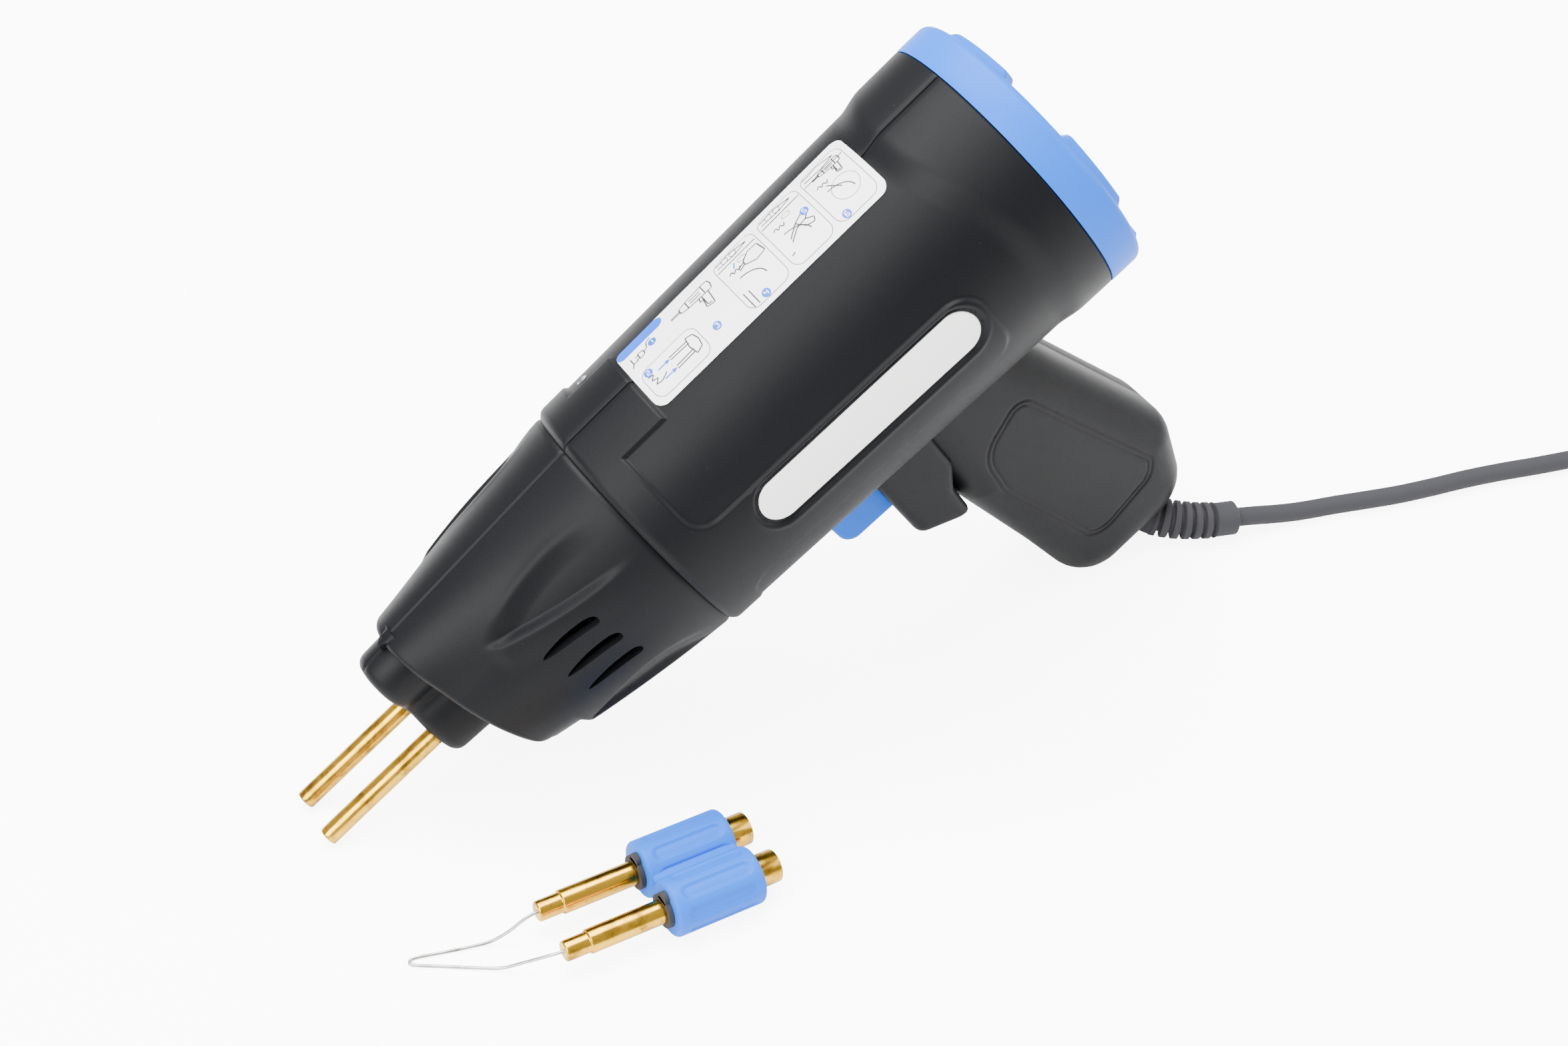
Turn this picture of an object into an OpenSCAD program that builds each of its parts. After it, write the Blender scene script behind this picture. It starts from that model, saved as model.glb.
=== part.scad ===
// Pistol-grip hot stapler for repairing plastic, standing nose down on a table beside
// its slip-on smoothing tip. A transformer in the barrel heats staples that are pushed
// into two brass rods. Millimetres, +Z up, table at z = 0.
//
// Two frames are used. The gun frame has +X along the barrel from the rod tips to the
// rear cap, +Z away from the grip and y = 0 on the parting plane. The table frame has its
// X origin under the rod tips. in_gun() and on_table() carry them into the part's frame.

/* [Pose on the table] */
// Tilt of the barrel, nose down
gun_pitch = 35; // [34:0.5:36]

/* [Barrel] */
// Distance from the rod tips to the seam between nose cone and barrel
seam_u = 131; // [129:1:133]
// Distance from the rod tips to the front edge of the rear cap
cap_u = 281; // [279:1:284]
// Radius of the collar behind the seam
collar_r = 42.3; // [41.8:0.1:43]
// Radius of the barrel just behind the collar
barrel_r = 41.5; // [41:0.1:42]
// Radius of the barrel where the rear bell starts
barrel_rear_r = 44.3; // [43.8:0.1:44.8]
// Radius of the rear bell and of the cap
bell_r = 46.2; // [45.5:0.1:47]
// Wall thickness of the mouldings
wall = 2.6; // [2.2:0.1:3]

/* [Nose] */
// Radius of the nose cone at its front rim
nose_r = 32.4; // [31:0.1:34]
// Distance from the rod tips to the top of the nose cone's rim
nose_u = 56; // [54:1:58]
// Distance from the rod tips to the front of the snout
snout_u = 44; // [42:1:46]
// Radius of the snout's lower lobe, which holds the rods
snout_low_r = 14.8; // [14:0.1:16]
// Radius of the snout's upper lobe, which holds the work light
snout_top_r = 10.8; // [10:0.1:12]
// Height of the upper lobe's centre above the barrel axis
lamp_v = 23.3; // [22:0.1:25]

/* [Rods] */
// Diameter of the two brass rods
rod_d = 6; // [5.9:0.1:6.1]
// Distance between the rods' axes
rod_gap = 17; // [16.5:0.1:17.5]
// Height of the rods above the barrel axis
rod_v = 1; // [0:0.5:1.5]

/* [Grip] */
// Half the width of the grip
grip_hw = 20; // [19:0.5:21]
// Half the width of the switch block in front of the grip
block_hw = 17.5; // [16.5:0.5:18.5]
// How far the trigger is pulled
trigger_travel = 6; // [4:0.5:6]
// Half the width of the trigger
trigger_hw = 7.4; // [6.5:0.1:7.5]

/* [Mains cord] */
// Diameter of the cord
cord_d = 6.5; // [6.3:0.1:6.7]
// Mean radius of the coil of spare cord
coil_r = 38.5; // [38:0.25:39]

/* [Smoothing tip] */
// Radius of the insulating block around each of its tubes
tip_block_r = 8.8; // [8.6:0.1:9]
// Radius of the bore that slips over a rod
tip_bore_r = 3.1; // [3.05:0.01:3.1]

/* [Hidden] */
$fn = 64;

// Place of the part's origin, the middle of its footprint without the cord
origin_x = 152.3;
origin_y = -24.8;
// The rods' lower edges touch the table
rest_z = (rod_d / 2 - rod_v) * cos(gun_pitch);
// The rods are turned down behind a shoulder just ahead of the snout
shoulder_u = snout_u - 0.4;
shank_r = 2.6;

// Profiles of the barrel: [radius, distance behind the rod tips]
bell_u = cap_u - 28;
collar_u = seam_u + 11;
label_u0 = 158.5;
label_u1 = 249.5;
label_half_angle = 19;
plate_u = 201;
plate_len = 84;
plate_w = 14.6;
plate_angle = 78.5;
plate_r = 43.2;
plate_t = 1;

// Nose rim: a plane that leans back towards the grip side
rim_lean = atan(0.24);
nose_wall = 2.6;
snout_rear_u = nose_u + 34;
gill_len = 18;
gill_u = 86.5;
gill_rows = [12, 0, -12];

// Grip outline corners in the gun frame with their radii, clockwise from the top rear.
// The toe is the rounded corner that stands on the table.
toe_r = 16;
toe_u = 234.5;
toe_v = (toe_r - rest_z - toe_u * sin(gun_pitch)) / cos(gun_pitch);
grip_corners = [[245, -26], [253, -52], [275.5, -130], [266, toe_v - toe_r], [toe_u - 17, toe_v - toe_r],
    [214.5, -127], [206, -84], [206, -26]];
grip_radii = [0.5, 30, 15, 17, toe_r, 12, 6, 0.5];
block_corners = [[230, -28], [230, -88], [209, -87.5], [188, -77], [188, -28]];
block_radii = [0.5, 0.5, 8, 6, 0.5];
grip_rake = 11;

// Screws that close the housing: [u, v, half length]
screws = [[247, -70, 20], [228, -124, 20], [262, -132, 20], [150, -34, 24], [268, -37, 26],
    [268, 37, 26], [148, 34, 24]];
nose_screws = [[122, -30, 22], [122, 30, 22]];
screw_r = 1.5;
boss_r = 4;

// Transformer, EI laminations with the centre leg along the barrel
core_u = 180;
core_len = 55;
core_h = 66;
core_hw = 18;
leg = 11;
bobbin_t = 1.2;
coil_side = 9.6;

// Clamps and bars between the rods and the transformer
clamp_u = 84;
clamp_len = 20;
bar_t = 3;
bar_v = 8;

// Trigger and switch
trigger_u = 169;
trigger_rear_u = 192;
trigger_top_v = -43.6;
trigger_low_v = -71;
plunger_v = -58;
switch_u = 200;

// Routes in the table frame, chosen by hand: the sleeve, then the cord from it to the coil
sleeve_route = [[289, 2.5, 16.5], [293.3, -1.5, 14], [297.7, -5.5, 11.5], [302, -9.5, 9.2], [307, -13.5, 8.3],
    [313, -17, 7.8], [320, -19.9, 7.4], [328, -22, 7]];
coil_centre = [580, -9.75];
coil_half = 1.5 * cord_d;
coil_top = 3 * cord_d;
cord_route = [[324, -21, 7.2], [330, -22.5, 6.8], [336, -23.7, 6], [343, -25, 4.8], [351, -26.6, 3.8],
    [359, -28.2, 3.35], [367, -30, 3.3], [379, -33.2, 3.3], [391, -36.2, 3.3], [404, -38.6, 3.3],
    [418, -40.8, 3.3], [432, -43.7, 3.3], [445, -46.9, 3.3], [458, -49.8, 3.3], [471, -52.2, 3.3],
    [483, -53.8, 3.3], [494, -54.6, 3.3], [505, -54.75, 3.3], [517.5, -54.75, 3.3], [530, -54.75, 3.3],
    [542.5, -54.75, 3.3], [555, -54.75, 3.3], [567.5, -54.75, 3.3], [580, -54.75, 3.3]];

// Plug, lying on the coil
plug_x = coil_centre[0] + coil_r - cord_d;
plug_y = coil_centre[1];
plug_len = 36;
plug_t = 13.7;

// Smoothing tip in the table frame
tip_y = [-69.8, -86.8];
tip_front_x = 70.5;
tip_rear_x = 99.3;
tip_end_x = 106.7;
tip_step_x = 45;
tip_nose_x = 37.6;
wire_route = [[38.4, -69.8, 8.8], [34, -69.6, 7.6], [29, -69, 4.3], [24, -67.6, 1.5], [18, -66, 0.8],
    [11, -64.1, 0.55], [4, -62.3, 0.55], [1.6, -62.2, 0.55], [0.9, -63.3, 0.55], [2, -64.6, 0.55],
    [9, -69, 0.55], [16, -73.5, 0.7], [22.5, -77.8, 1.3], [28, -81.3, 4.1], [34, -85.2, 7.6],
    [38.4, -86.8, 8.8]];

// Wires inside the grip, in the gun frame
mains_lead_a = [[256, -4, -141], [250, -5, -133], [246, -5, -122], [243, -5, -112]];
mains_lead_b = [[257, 4, -139], [252, 5, -131], [249, 5, -120], [246, 5, -112]];
coil_lead_a = [[238, -6, -96], [239, -8, -82], [239.6, -9, -64], [240, -9, -48], [240, -9, -40],
    [240, -12, -35.5], [240, -17.5, -31], [239.4, -21.5, -27.8], [236.6, -24, -25.4], [230, -26, -23.6], [221, -26, -23]];
coil_lead_b = [[241, 6, -96], [239.6, 8, -82], [239.6, 9, -64], [240, 9, -48], [240, 9, -40],
    [240, 12, -35.5], [240, 17.5, -31], [239.4, 21.5, -27.8], [236.6, 24, -25.4], [230, 26, -23.6], [221, 26, -23]];
switch_lead = [[236, 0, -96], [232, 0, -86], [229, 0, -74], [222, 0, -66]];

black = [0.11, 0.115, 0.125];
blue = [0.18, 0.52, 0.9];
brass = [0.78, 0.58, 0.24];
copper = [0.75, 0.42, 0.25];
steel = [0.62, 0.63, 0.65];
iron = [0.36, 0.36, 0.38];

// ---- Frames -------------------------------------------------------------------------

module on_table() {
    translate([-origin_x, -origin_y, 0]) children();
}

module in_gun() {
    on_table() translate([0, 0, rest_z]) rotate([0, -gun_pitch, 0]) children();
}

// Carries children from the table frame into the gun frame, for cuts in the housing
module table_from_gun() {
    rotate([0, gun_pitch, 0]) translate([0, 0, -rest_z]) children();
}

// Keeps the right (+y) half of a gun-frame solid
module half() {
    intersection() {
        children();
        translate([-10, 0, -230]) cube([340, 120, 320]);
    }
}

// ---- Shape helpers ------------------------------------------------------------------

// A solid of revolution about the barrel axis; points are [radius, u]
module turned(points, from = 0, angle = 360) {
    rotate([0, 90, 0]) rotate([0, 0, from]) rotate_extrude(angle = angle, $fn = 96) polygon(points);
}

// A rod along the barrel
module rod_u(u, len, r, y = 0, v = 0) {
    translate([u, y, v]) rotate([0, 90, 0]) cylinder(h = len, r = r);
}

// A rod across the barrel, from y0 to y1
module rod_y(u, v, y0, y1, r) {
    translate([u, y1, v]) rotate([90, 0, 0]) cylinder(h = y1 - y0, r = r);
}

// A box given by its low corner and its high corner
module box(lo, hi) {
    translate(lo) cube(hi - lo);
}

function unit(a) = a / norm(a);
function turn_left(a) = [-a[1], a[0]];

// A corner polygon moved inwards by d; corners run clockwise
function inset(p, d) = let (n = len(p)) [for (i = [0 : n - 1])
    let (a = p[(i + n - 1) % n], b = p[i], c = p[(i + 1) % n],
        n1 = -turn_left(unit(b - a)), n2 = -turn_left(unit(c - b)))
    b + d * (n1 + n2) / (1 + n1 * n2)];

// Arc points that replace one corner b between a and c by a round of radius r
function round_corner(a, b, c, r, steps = 8) = let (
    u1 = unit(a - b), u2 = unit(c - b), half_turn = acos(u1 * u2) / 2,
    centre = b + unit(u1 + u2) * r / sin(half_turn),
    p1 = b + u1 * r / tan(half_turn) - centre, p2 = b + u2 * r / tan(half_turn) - centre,
    start = atan2(p1[1], p1[0]), raw = atan2(p2[1], p2[0]) - start,
    sweep = raw > 180 ? raw - 360 : raw < -180 ? raw + 360 : raw)
    [for (k = [0 : steps]) centre + r * [cos(start + sweep * k / steps), sin(start + sweep * k / steps)]];

function round_corners(p, r) = let (n = len(p)) [for (i = [0 : n - 1])
    each round_corner(p[(i + n - 1) % n], p[i], p[(i + 1) % n], r[i])];

// An outline in the gun frame's u and v, extruded to both sides of the parting plane
module side_plate(points, hw) {
    rotate([90, 0, 0]) linear_extrude(height = 2 * hw, center = true) polygon(points);
}

module rounded_rect(w, d, r) {
    square([w - 2 * r, d], center = true);
    square([w, d - 2 * r], center = true);
    for (x = [-1, 1], y = [-1, 1]) translate([x * (w / 2 - r), y * (d / 2 - r)]) circle(r = r);
}

// A stadium of the given length and width
module stadium(l, w) {
    square([l - w, w], center = true);
    for (x = [-1, 1]) translate([x * (l - w) / 2, 0]) circle(d = w);
}

// Ring of points round a route point, square to the route; side_on is never along it
function ring(p, t, r, sides, side_on) = let (a = unit(cross(t, side_on)), b = cross(a, t))
    [for (k = [0 : sides - 1]) p + r * (cos(360 * k / sides) * a + sin(360 * k / sides) * b)];

function tangent(path, i) = unit(path[min(i + 1, len(path) - 1)] - path[max(i - 1, 0)]);

// Faces that close n rings into one skin, clockwise seen from outside
function skin_faces(n, sides) = concat(
    [for (i = [0 : n - 2], k = [0 : sides - 1]) let (j = (k + 1) % sides)
        [i * sides + k, i * sides + j, (i + 1) * sides + j, (i + 1) * sides + k]],
    [[for (k = [sides - 1 : -1 : 0]) k], [for (k = [0 : sides - 1]) (n - 1) * sides + k]]);

// Round tube swept along a route as one closed skin; radii holds one radius for each ring
module ringed_tube(path, radii, sides, side_on) {
    n = len(path);
    points = [for (i = [0 : n - 1]) each ring(path[i], tangent(path, i), radii[i], sides, side_on)];
    polyhedron(points = points, faces = skin_faces(n, sides), convexity = 8);
}

module tube(path, r, sides = 8, side_on = [0, 0, 1]) {
    ringed_tube(path, [for (p = path) r], sides, side_on);
}

// Catmull-Rom points between the route's own points
function smooth(p, steps) = let (n = len(p)) [for (i = [0 : n - 2], k = [0 : i == n - 2 ? steps : steps - 1])
    let (t = k / steps, a = p[max(i - 1, 0)], b = p[i], c = p[i + 1], d = p[min(i + 2, n - 1)])
    0.5 * (2 * b + (c - a) * t + (2 * a - 5 * b + 4 * c - d) * t * t + (3 * b - a - 3 * c + d) * t * t * t)];

// ---- Housing ------------------------------------------------------------------------

// Outer radius of the barrel at distance u behind the rod tips
function barrel_at(u) = barrel_r + (barrel_rear_r - barrel_r) * (u - collar_u - 2) / (bell_u - collar_u - 2);

module barrel_outer() {
    turned([[0, seam_u], [collar_r - 1.6, seam_u], [collar_r - 0.4, seam_u + 1.6], [collar_r, collar_u],
        [barrel_r, collar_u + 2], [barrel_rear_r, bell_u], [bell_r - 0.3, bell_u + 11],
        [bell_r, cap_u], [0, cap_u]]);
}

module barrel_inner() {
    turned([[0, seam_u - 1], [36.2, seam_u - 1], [36.2, seam_u + 7], [barrel_r - wall, seam_u + 9],
        [barrel_r - wall, collar_u + 2], [barrel_rear_r - wall, bell_u], [bell_r - wall - 0.3, bell_u + 11],
        [bell_r - wall, cap_u + 1], [0, cap_u + 1]]);
}

// Grip and switch block, shrunk by d on every side
module grip_form(d) {
    intersection() {
        side_plate(round_corners(inset(grip_corners, d), [for (r = grip_radii) max(r - d, 0.5)]), grip_hw - d);
        translate([241, 0, -115]) rotate([0, -grip_rake, 0]) linear_extrude(height = 260, center = true)
            rounded_rect(62 - 2 * d, 2 * (grip_hw - d), 13 - d);
    }
    intersection() {
        side_plate(round_corners(inset(block_corners, d), [for (r = block_radii) max(r - d, 0.5)]), block_hw - d);
        translate([218, 0, -58]) linear_extrude(height = 80, center = true)
            rounded_rect(60 - 2 * d, 2 * (block_hw - d), 6 - d);
    }
}

// Ribs that hold both ends of the transformer core, open for the bars and leads
module core_ribs() {
    for (u = [core_u - 3, core_u + core_len + 0.1]) difference() {
        rod_u(u, 2.9, barrel_at(u) - wall + 0.5);
        box([u - 1, -14, -28], [u + 4, 14, 28]);
        box([u - 1, -31, -13], [u + 4, 31, 13]);
        box([u - 1, -27.5, -34], [u + 4, -20, -20]);
        box([u - 1, 20, -34], [u + 4, 27.5, -20]);
    }
}

module plate_pocket(side, extra) {
    rotate([-side * plate_angle, 0, 0]) translate([plate_u, 0, plate_r - plate_t])
        linear_extrude(height = plate_t + extra) stadium(plate_len + extra / 2, plate_w + extra / 2);
}

module screw_bosses(list) {
    for (s = list) rod_y(s[0], s[1], -s[2] - 6, s[2] + 6, boss_r);
}

// Carries children to the side they are made for; all is built on the right first
module on_side(side) {
    mirror([0, side < 0 ? 1 : 0, 0]) children();
}

// Blind pilot holes for the left half, clearance holes and counterbores for the right
module screw_holes(list, side) {
    for (s = list) {
        if (side < 0) {
            rod_y(s[0], s[1], -2, s[2] - 4, screw_r - 0.1);
        } else {
            rod_y(s[0], s[1], -2, s[2] + 8, screw_r + 0.2);
            rod_y(s[0], s[1], s[2] - 5, s[2] + 8, 3.2);
        }
    }
}

module housing(side) {
    color(black) in_gun() on_side(side) half() difference() {
        union() {
            difference() {
                union() { barrel_outer(); grip_form(0); }
                barrel_inner();
                grip_form(wall);
            }
            core_ribs();
            intersection() {
                screw_bosses(screws);
                union() { barrel_outer(); grip_form(0); }
            }
        }
        screw_holes(screws, side);
        box([180, -trigger_hw - 0.5, trigger_low_v - 2.4], [193, trigger_hw + 0.5, -30]);
        plate_pocket(1, 2);
        on_side(side) table_from_gun() sleeve_hole();
        rod_u(seam_u - 1, 7.2, 36.2);
    }
}

module plate(side) {
    color("whitesmoke") in_gun() rotate([-side * plate_angle, 0, 0]) translate([plate_u, 0, plate_r - plate_t])
        linear_extrude(height = plate_t) stadium(plate_len, plate_w);
}

module instruction_label() {
    r0 = barrel_at(label_u0);
    r1 = barrel_at(label_u1);
    color("white") in_gun() turned([[r0, label_u0], [r0 + 0.25, label_u0], [r1 + 0.25, label_u1], [r1, label_u1]],
        180 - label_half_angle, 2 * label_half_angle);
}

module screw(s) {
    rod_y(s[0], s[1], -s[2] + 5, s[2] - 5, screw_r - 0.1);
    difference() {
        rod_y(s[0], s[1], s[2] - 5, s[2] - 3, 2.8);
        rod_y(s[0], s[1], s[2] - 3.8, s[2] - 2, 0.9);
    }
}

module housing_screws() {
    color(steel) in_gun() for (s = concat(screws, nose_screws)) screw(s);
}

// ---- Nose and snout -----------------------------------------------------------------

// Everything behind the leaning rim plane, moved back by d
module behind_rim(d) {
    translate([nose_u + d, 0, nose_r]) rotate([0, -rim_lean, 0]) translate([0, -60, -110]) cube([120, 120, 120]);
}

module nose_outer() {
    turned([[0, nose_u - 2], [nose_r - 2.2, nose_u - 2], [nose_r, nose_u + 1], [35.2, nose_u + 25],
        [37.9, nose_u + 43], [40.7, seam_u], [0, seam_u]]);
}

module nose_inner() {
    turned([[0, nose_u - 3], [nose_r - wall, nose_u - 3], [35.2 - wall, nose_u + 25],
        [37.9 - wall, nose_u + 43], [36 - wall, seam_u - 2], [36 - wall, seam_u + 8], [0, seam_u + 8]]);
}

// One cooling slot: round at the rear, pointed at the front
module gill(v) {
    translate([gill_u, 44, v]) rotate([90, 0, 0]) linear_extrude(height = 24)
        union() {
            polygon([[0, 0], [gill_len - 2.4, -2.4], [gill_len - 2.4, 2.4]]);
            translate([gill_len - 2.4, 0]) circle(r = 2.4);
        }
}

module snout_outline(grow) {
    circle(r = snout_low_r + grow);
    translate([0, lamp_v]) circle(r = snout_top_r + grow);
    translate([-8.3 - grow, 0]) square([16.6 + 2 * grow, lamp_v]);
}

// The snout's outline carried along the barrel from u0 to u1
module snout_bar(u0, u1, grow) {
    translate([u0, 0, 0]) rotate([90, 0, 90]) linear_extrude(height = u1 - u0) snout_outline(grow);
}

module nose(side) {
    color(black) in_gun() on_side(side) half() difference() {
        union() {
            difference() {
                intersection() { nose_outer(); behind_rim(0); }
                intersection() { nose_inner(); behind_rim(nose_wall); }
            }
            difference() {
                rod_u(seam_u - 3, 9, 36);
                rod_u(seam_u - 4, 11, 36 - wall);
            }
            intersection() { screw_bosses(nose_screws); nose_outer(); }
        }
        screw_holes(nose_screws, side);
        for (v = gill_rows) gill(v);
        snout_bar(snout_u, snout_rear_u, 0.1);
    }
}

module snout(side) {
    color(black) in_gun() on_side(side) half() difference() {
        union() {
            snout_bar(snout_u, snout_u + 2, -1.2);
            snout_bar(snout_u + 2, nose_u + 22, 0);
        }
        snout_bar(snout_u + 3.4, nose_u + 23, -2);
        for (y = [-1, 1]) rod_u(snout_u - 1, 6, shank_r + 0.1, y * rod_gap / 2, rod_v);
        rod_u(snout_u - 1, 6, 6.1, 0, lamp_v);
    }
}

module rear_cap() {
    color(blue) in_gun() difference() {
        union() {
            turned([[0, cap_u], [bell_r, cap_u], [bell_r + 0.1, cap_u + 10], [bell_r - 1.6, cap_u + 13.2],
                [40, cap_u + 14.6], [20, cap_u + 15.6], [0, cap_u + 15.9]]);
            turned([[41, cap_u - 5], [43.2, cap_u - 5], [43.4, cap_u + 1], [41, cap_u + 1]]);
            for (k = [0 : 4]) turned([[34, cap_u + 12], [42, cap_u + 12], [41, cap_u + 16.8], [35, cap_u + 16.8]],
                180 - 20 + 72 * k, 40);
        }
        turned([[0, cap_u - 6], [41, cap_u - 6], [43.2, cap_u + 1], [43.2, cap_u + 9.5], [38, cap_u + 12],
            [20, cap_u + 13], [0, cap_u + 13.3]]);
        for (k = [0 : 4]) turned([[36.4, cap_u + 8], [39.6, cap_u + 8], [39.6, cap_u + 20], [36.4, cap_u + 20]],
            180 - 16 + 72 * k, 32);
    }
}

// ---- Rods, clamps and bars ----------------------------------------------------------

module brass_rod(side) {
    color(brass) in_gun() difference() {
        union() {
            rod_u(0, shoulder_u, rod_d / 2, side * rod_gap / 2, rod_v);
            rod_u(shoulder_u - 1, clamp_u + clamp_len - shoulder_u + 1, shank_r, side * rod_gap / 2, rod_v);
        }
        rod_u(-1, 9, 0.8, side * rod_gap / 2, rod_v);
    }
}

module rod_insulator() {
    color("ivory") in_gun() difference() {
        box([snout_u + 4, -12, rod_v - 6], [snout_u + 28, 12, rod_v + 6]);
        for (y = [-1, 1]) rod_u(snout_u, 40, shank_r + 0.05, y * rod_gap / 2, rod_v);
    }
}

module rod_clamps() {
    color(brass) in_gun() for (side = [-1, 1]) difference() {
        box([clamp_u, side * rod_gap / 2 - 6, rod_v - 7], [clamp_u + clamp_len, side * rod_gap / 2 + 6, bar_v]);
        rod_u(clamp_u - 1, clamp_len + 2, shank_r + 0.02, side * rod_gap / 2, rod_v);
        for (u = [6, 14]) translate([clamp_u + u, side * rod_gap / 2, rod_v]) cylinder(h = 10, r = 2);
    }
}

module clamp_screws() {
    color(steel) in_gun() for (side = [-1, 1], u = [6, 14]) translate([clamp_u + u, side * rod_gap / 2, 0]) {
        translate([0, 0, rod_v + shank_r + 0.05]) cylinder(h = bar_v + bar_t - rod_v - shank_r, r = 1.95);
        translate([0, 0, bar_v + bar_t]) difference() {
            cylinder(h = 2.4, r = 3.5);
            translate([0, 0, 1]) cylinder(h = 2, r = 1.9, $fn = 6);
        }
    }
}

module bus_bar(side) {
    low = side < 0 ? 1 : 0;
    color(copper) in_gun() difference() {
        mirror([0, low, 0]) union() {
            box([clamp_u + 1, 3.5, bar_v], [core_u - 6, 13.5, bar_v + bar_t]);
            box([core_u - 10, 3.5, bar_v], [core_u - 6, 26, bar_v + bar_t]);
            box([core_u - 10, 23, 2], [core_u + leg + 1.6, 26, bar_v + bar_t]);
        }
        for (u = [6, 14]) translate([clamp_u + u, side * rod_gap / 2, 0]) cylinder(h = 20, r = 2.1);
    }
}

// ---- Transformer --------------------------------------------------------------------

module core() {
    color(iron) in_gun() difference() {
        box([core_u, -core_hw, -core_h / 2], [core_u + core_len, core_hw, core_h / 2]);
        for (s = [-1, 1]) translate([core_u + leg, -core_hw - 1, s * leg * 1.5 - leg / 2])
            cube([core_len - 2 * leg, 2 * core_hw + 2, leg]);
        core_bolt_holes(2.1);
    }
}

module core_bolt_holes(r) {
    for (u = [leg / 2, core_len - leg / 2], v = [-1, 1])
        rod_y(core_u + u, v * (core_h / 2 - leg / 2), -core_hw - 6, core_hw + 6, r);
}

module core_frame() {
    color(steel) in_gun() difference() {
        for (s = [-1, 1]) box([core_u, s * (core_hw + 0.6) - 0.6, -core_h / 2],
            [core_u + core_len, s * (core_hw + 0.6) + 0.6, core_h / 2]);
        box([core_u + leg - 0.3, -30, -22.2], [core_u + core_len - leg + 0.3, 30, 22.2]);
        box([core_u - 1, 19, -9], [core_u + leg, 30, 9]);
        core_bolt_holes(2.1);
    }
}

module core_bolts() {
    color(steel) in_gun() for (u = [leg / 2, core_len - leg / 2], v = [-1, 1]) {
        bolt_v = v * (core_h / 2 - leg / 2);
        rod_y(core_u + u, bolt_v, -core_hw - 3, core_hw + 1.2, 2);
        rod_y(core_u + u, bolt_v, core_hw + 1.2, core_hw + 3.4, 3.4);
        translate([core_u + u, -core_hw - 1.2, bolt_v]) rotate([90, 0, 0]) cylinder(h = 2.4, r = 3.9, $fn = 6);
    }
}

// A box with a rectangular hole, centred on the barrel axis
module sleeve_box(u0, u1, in_y, in_v, out_y, out_v) {
    difference() {
        box([u0, -out_y, -out_v], [u1, out_y, out_v]);
        box([u0 - 1, -in_y, -in_v], [u1 + 1, in_y, in_v]);
    }
}

module bobbin() {
    first = core_u + leg + 0.3;
    last = core_u + core_len - leg - 0.3;
    color([0.85, 0.82, 0.7]) in_gun() difference() {
        union() {
            sleeve_box(first, last, core_hw + 0.2, leg + 0.2, core_hw + 0.2 + bobbin_t, leg + 0.2 + bobbin_t);
            for (u = [first, first + 11, last - 1.5])
                sleeve_box(u, u + 1.5, core_hw + 0.2, leg + 0.2, core_hw + 10.6, 2 * leg - 0.3);
        }
        for (s = [-1, 1]) box([first - 1, s * 24.5 - 2, 1.5], [first + 1.5, s * 24.5 + 2, bar_v + bar_t + 0.5]);
    }
}

module primary_winding() {
    color([0.5, 0.25, 0.12]) in_gun() sleeve_box(core_u + leg + 12.8, core_u + core_len - leg - 1.8,
        core_hw + 0.2 + bobbin_t, leg + 0.2 + bobbin_t, core_hw + coil_side, 2 * leg - 1.2);
}

module secondary_winding() {
    color(copper) in_gun() sleeve_box(core_u + leg + 1.8, core_u + leg + 11.3,
        core_hw + 0.2 + bobbin_t, leg + 0.2 + bobbin_t, core_hw + coil_side - 1, 2 * leg - 2);
}

module thermal_cutout() {
    color("silver") in_gun() rod_u(core_u + 27, 13, 3.4, core_hw + coil_side + 3.4, 0);
}

// ---- Work light ---------------------------------------------------------------------

module light_lens() {
    color([0.85, 0.92, 1, 0.5]) in_gun() rod_u(snout_u + 0.5, 2.6, 6, 0, lamp_v);
}

module work_light() {
    color("white") in_gun() translate([0, 0, lamp_v]) rotate([0, 90, 0]) union() {
        translate([0, 0, snout_u + 7.5]) cylinder(h = 5, r = 2.5);
        translate([0, 0, snout_u + 7.5]) sphere(r = 2.5);
        translate([0, 0, snout_u + 12.5]) cylinder(h = 1, r = 2.9);
    }
}

module light_board() {
    color([0.1, 0.35, 0.2]) in_gun() rod_u(snout_u + 13.5, 1.6, 8, 0, lamp_v);
}

// ---- Trigger and switch -------------------------------------------------------------

module trigger() {
    outline = round_corners([[trigger_rear_u, trigger_top_v], [trigger_rear_u, trigger_low_v],
        [trigger_u + 1.5, trigger_low_v + 1.5], [trigger_u - 0.5, trigger_top_v]], [0.5, 1, 6, 0.5]);
    color(blue) in_gun() difference() {
        side_plate(outline, trigger_hw);
        rod_u(trigger_rear_u - 11, 12, 5.2, 0, plunger_v);
    }
}

module switch_plunger() {
    color("white") in_gun() rod_u(trigger_rear_u - 11, 26, 2.5, 0, plunger_v);
}

module switch_body() {
    color([0.2, 0.2, 0.22]) in_gun() difference() {
        union() {
            box([switch_u, -9, -70], [switch_u + 22, 9, -46]);
            for (y = [-5, 5]) box([switch_u + 22, y - 0.4, -62], [switch_u + 27, y + 0.4, -56]);
        }
        rod_u(switch_u - 1, 16, 2.58, 0, plunger_v);
    }
}

module trigger_spring() {
    turns = 5;
    coil = [for (i = [0 : 12 * turns]) [187.8 + 11.7 * i / (12 * turns), 3.9 * cos(30 * i), plunger_v + 3.9 * sin(30 * i)]];
    color(steel) in_gun() tube(coil, 0.45, 6, [1, 0, 0]);
}

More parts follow.
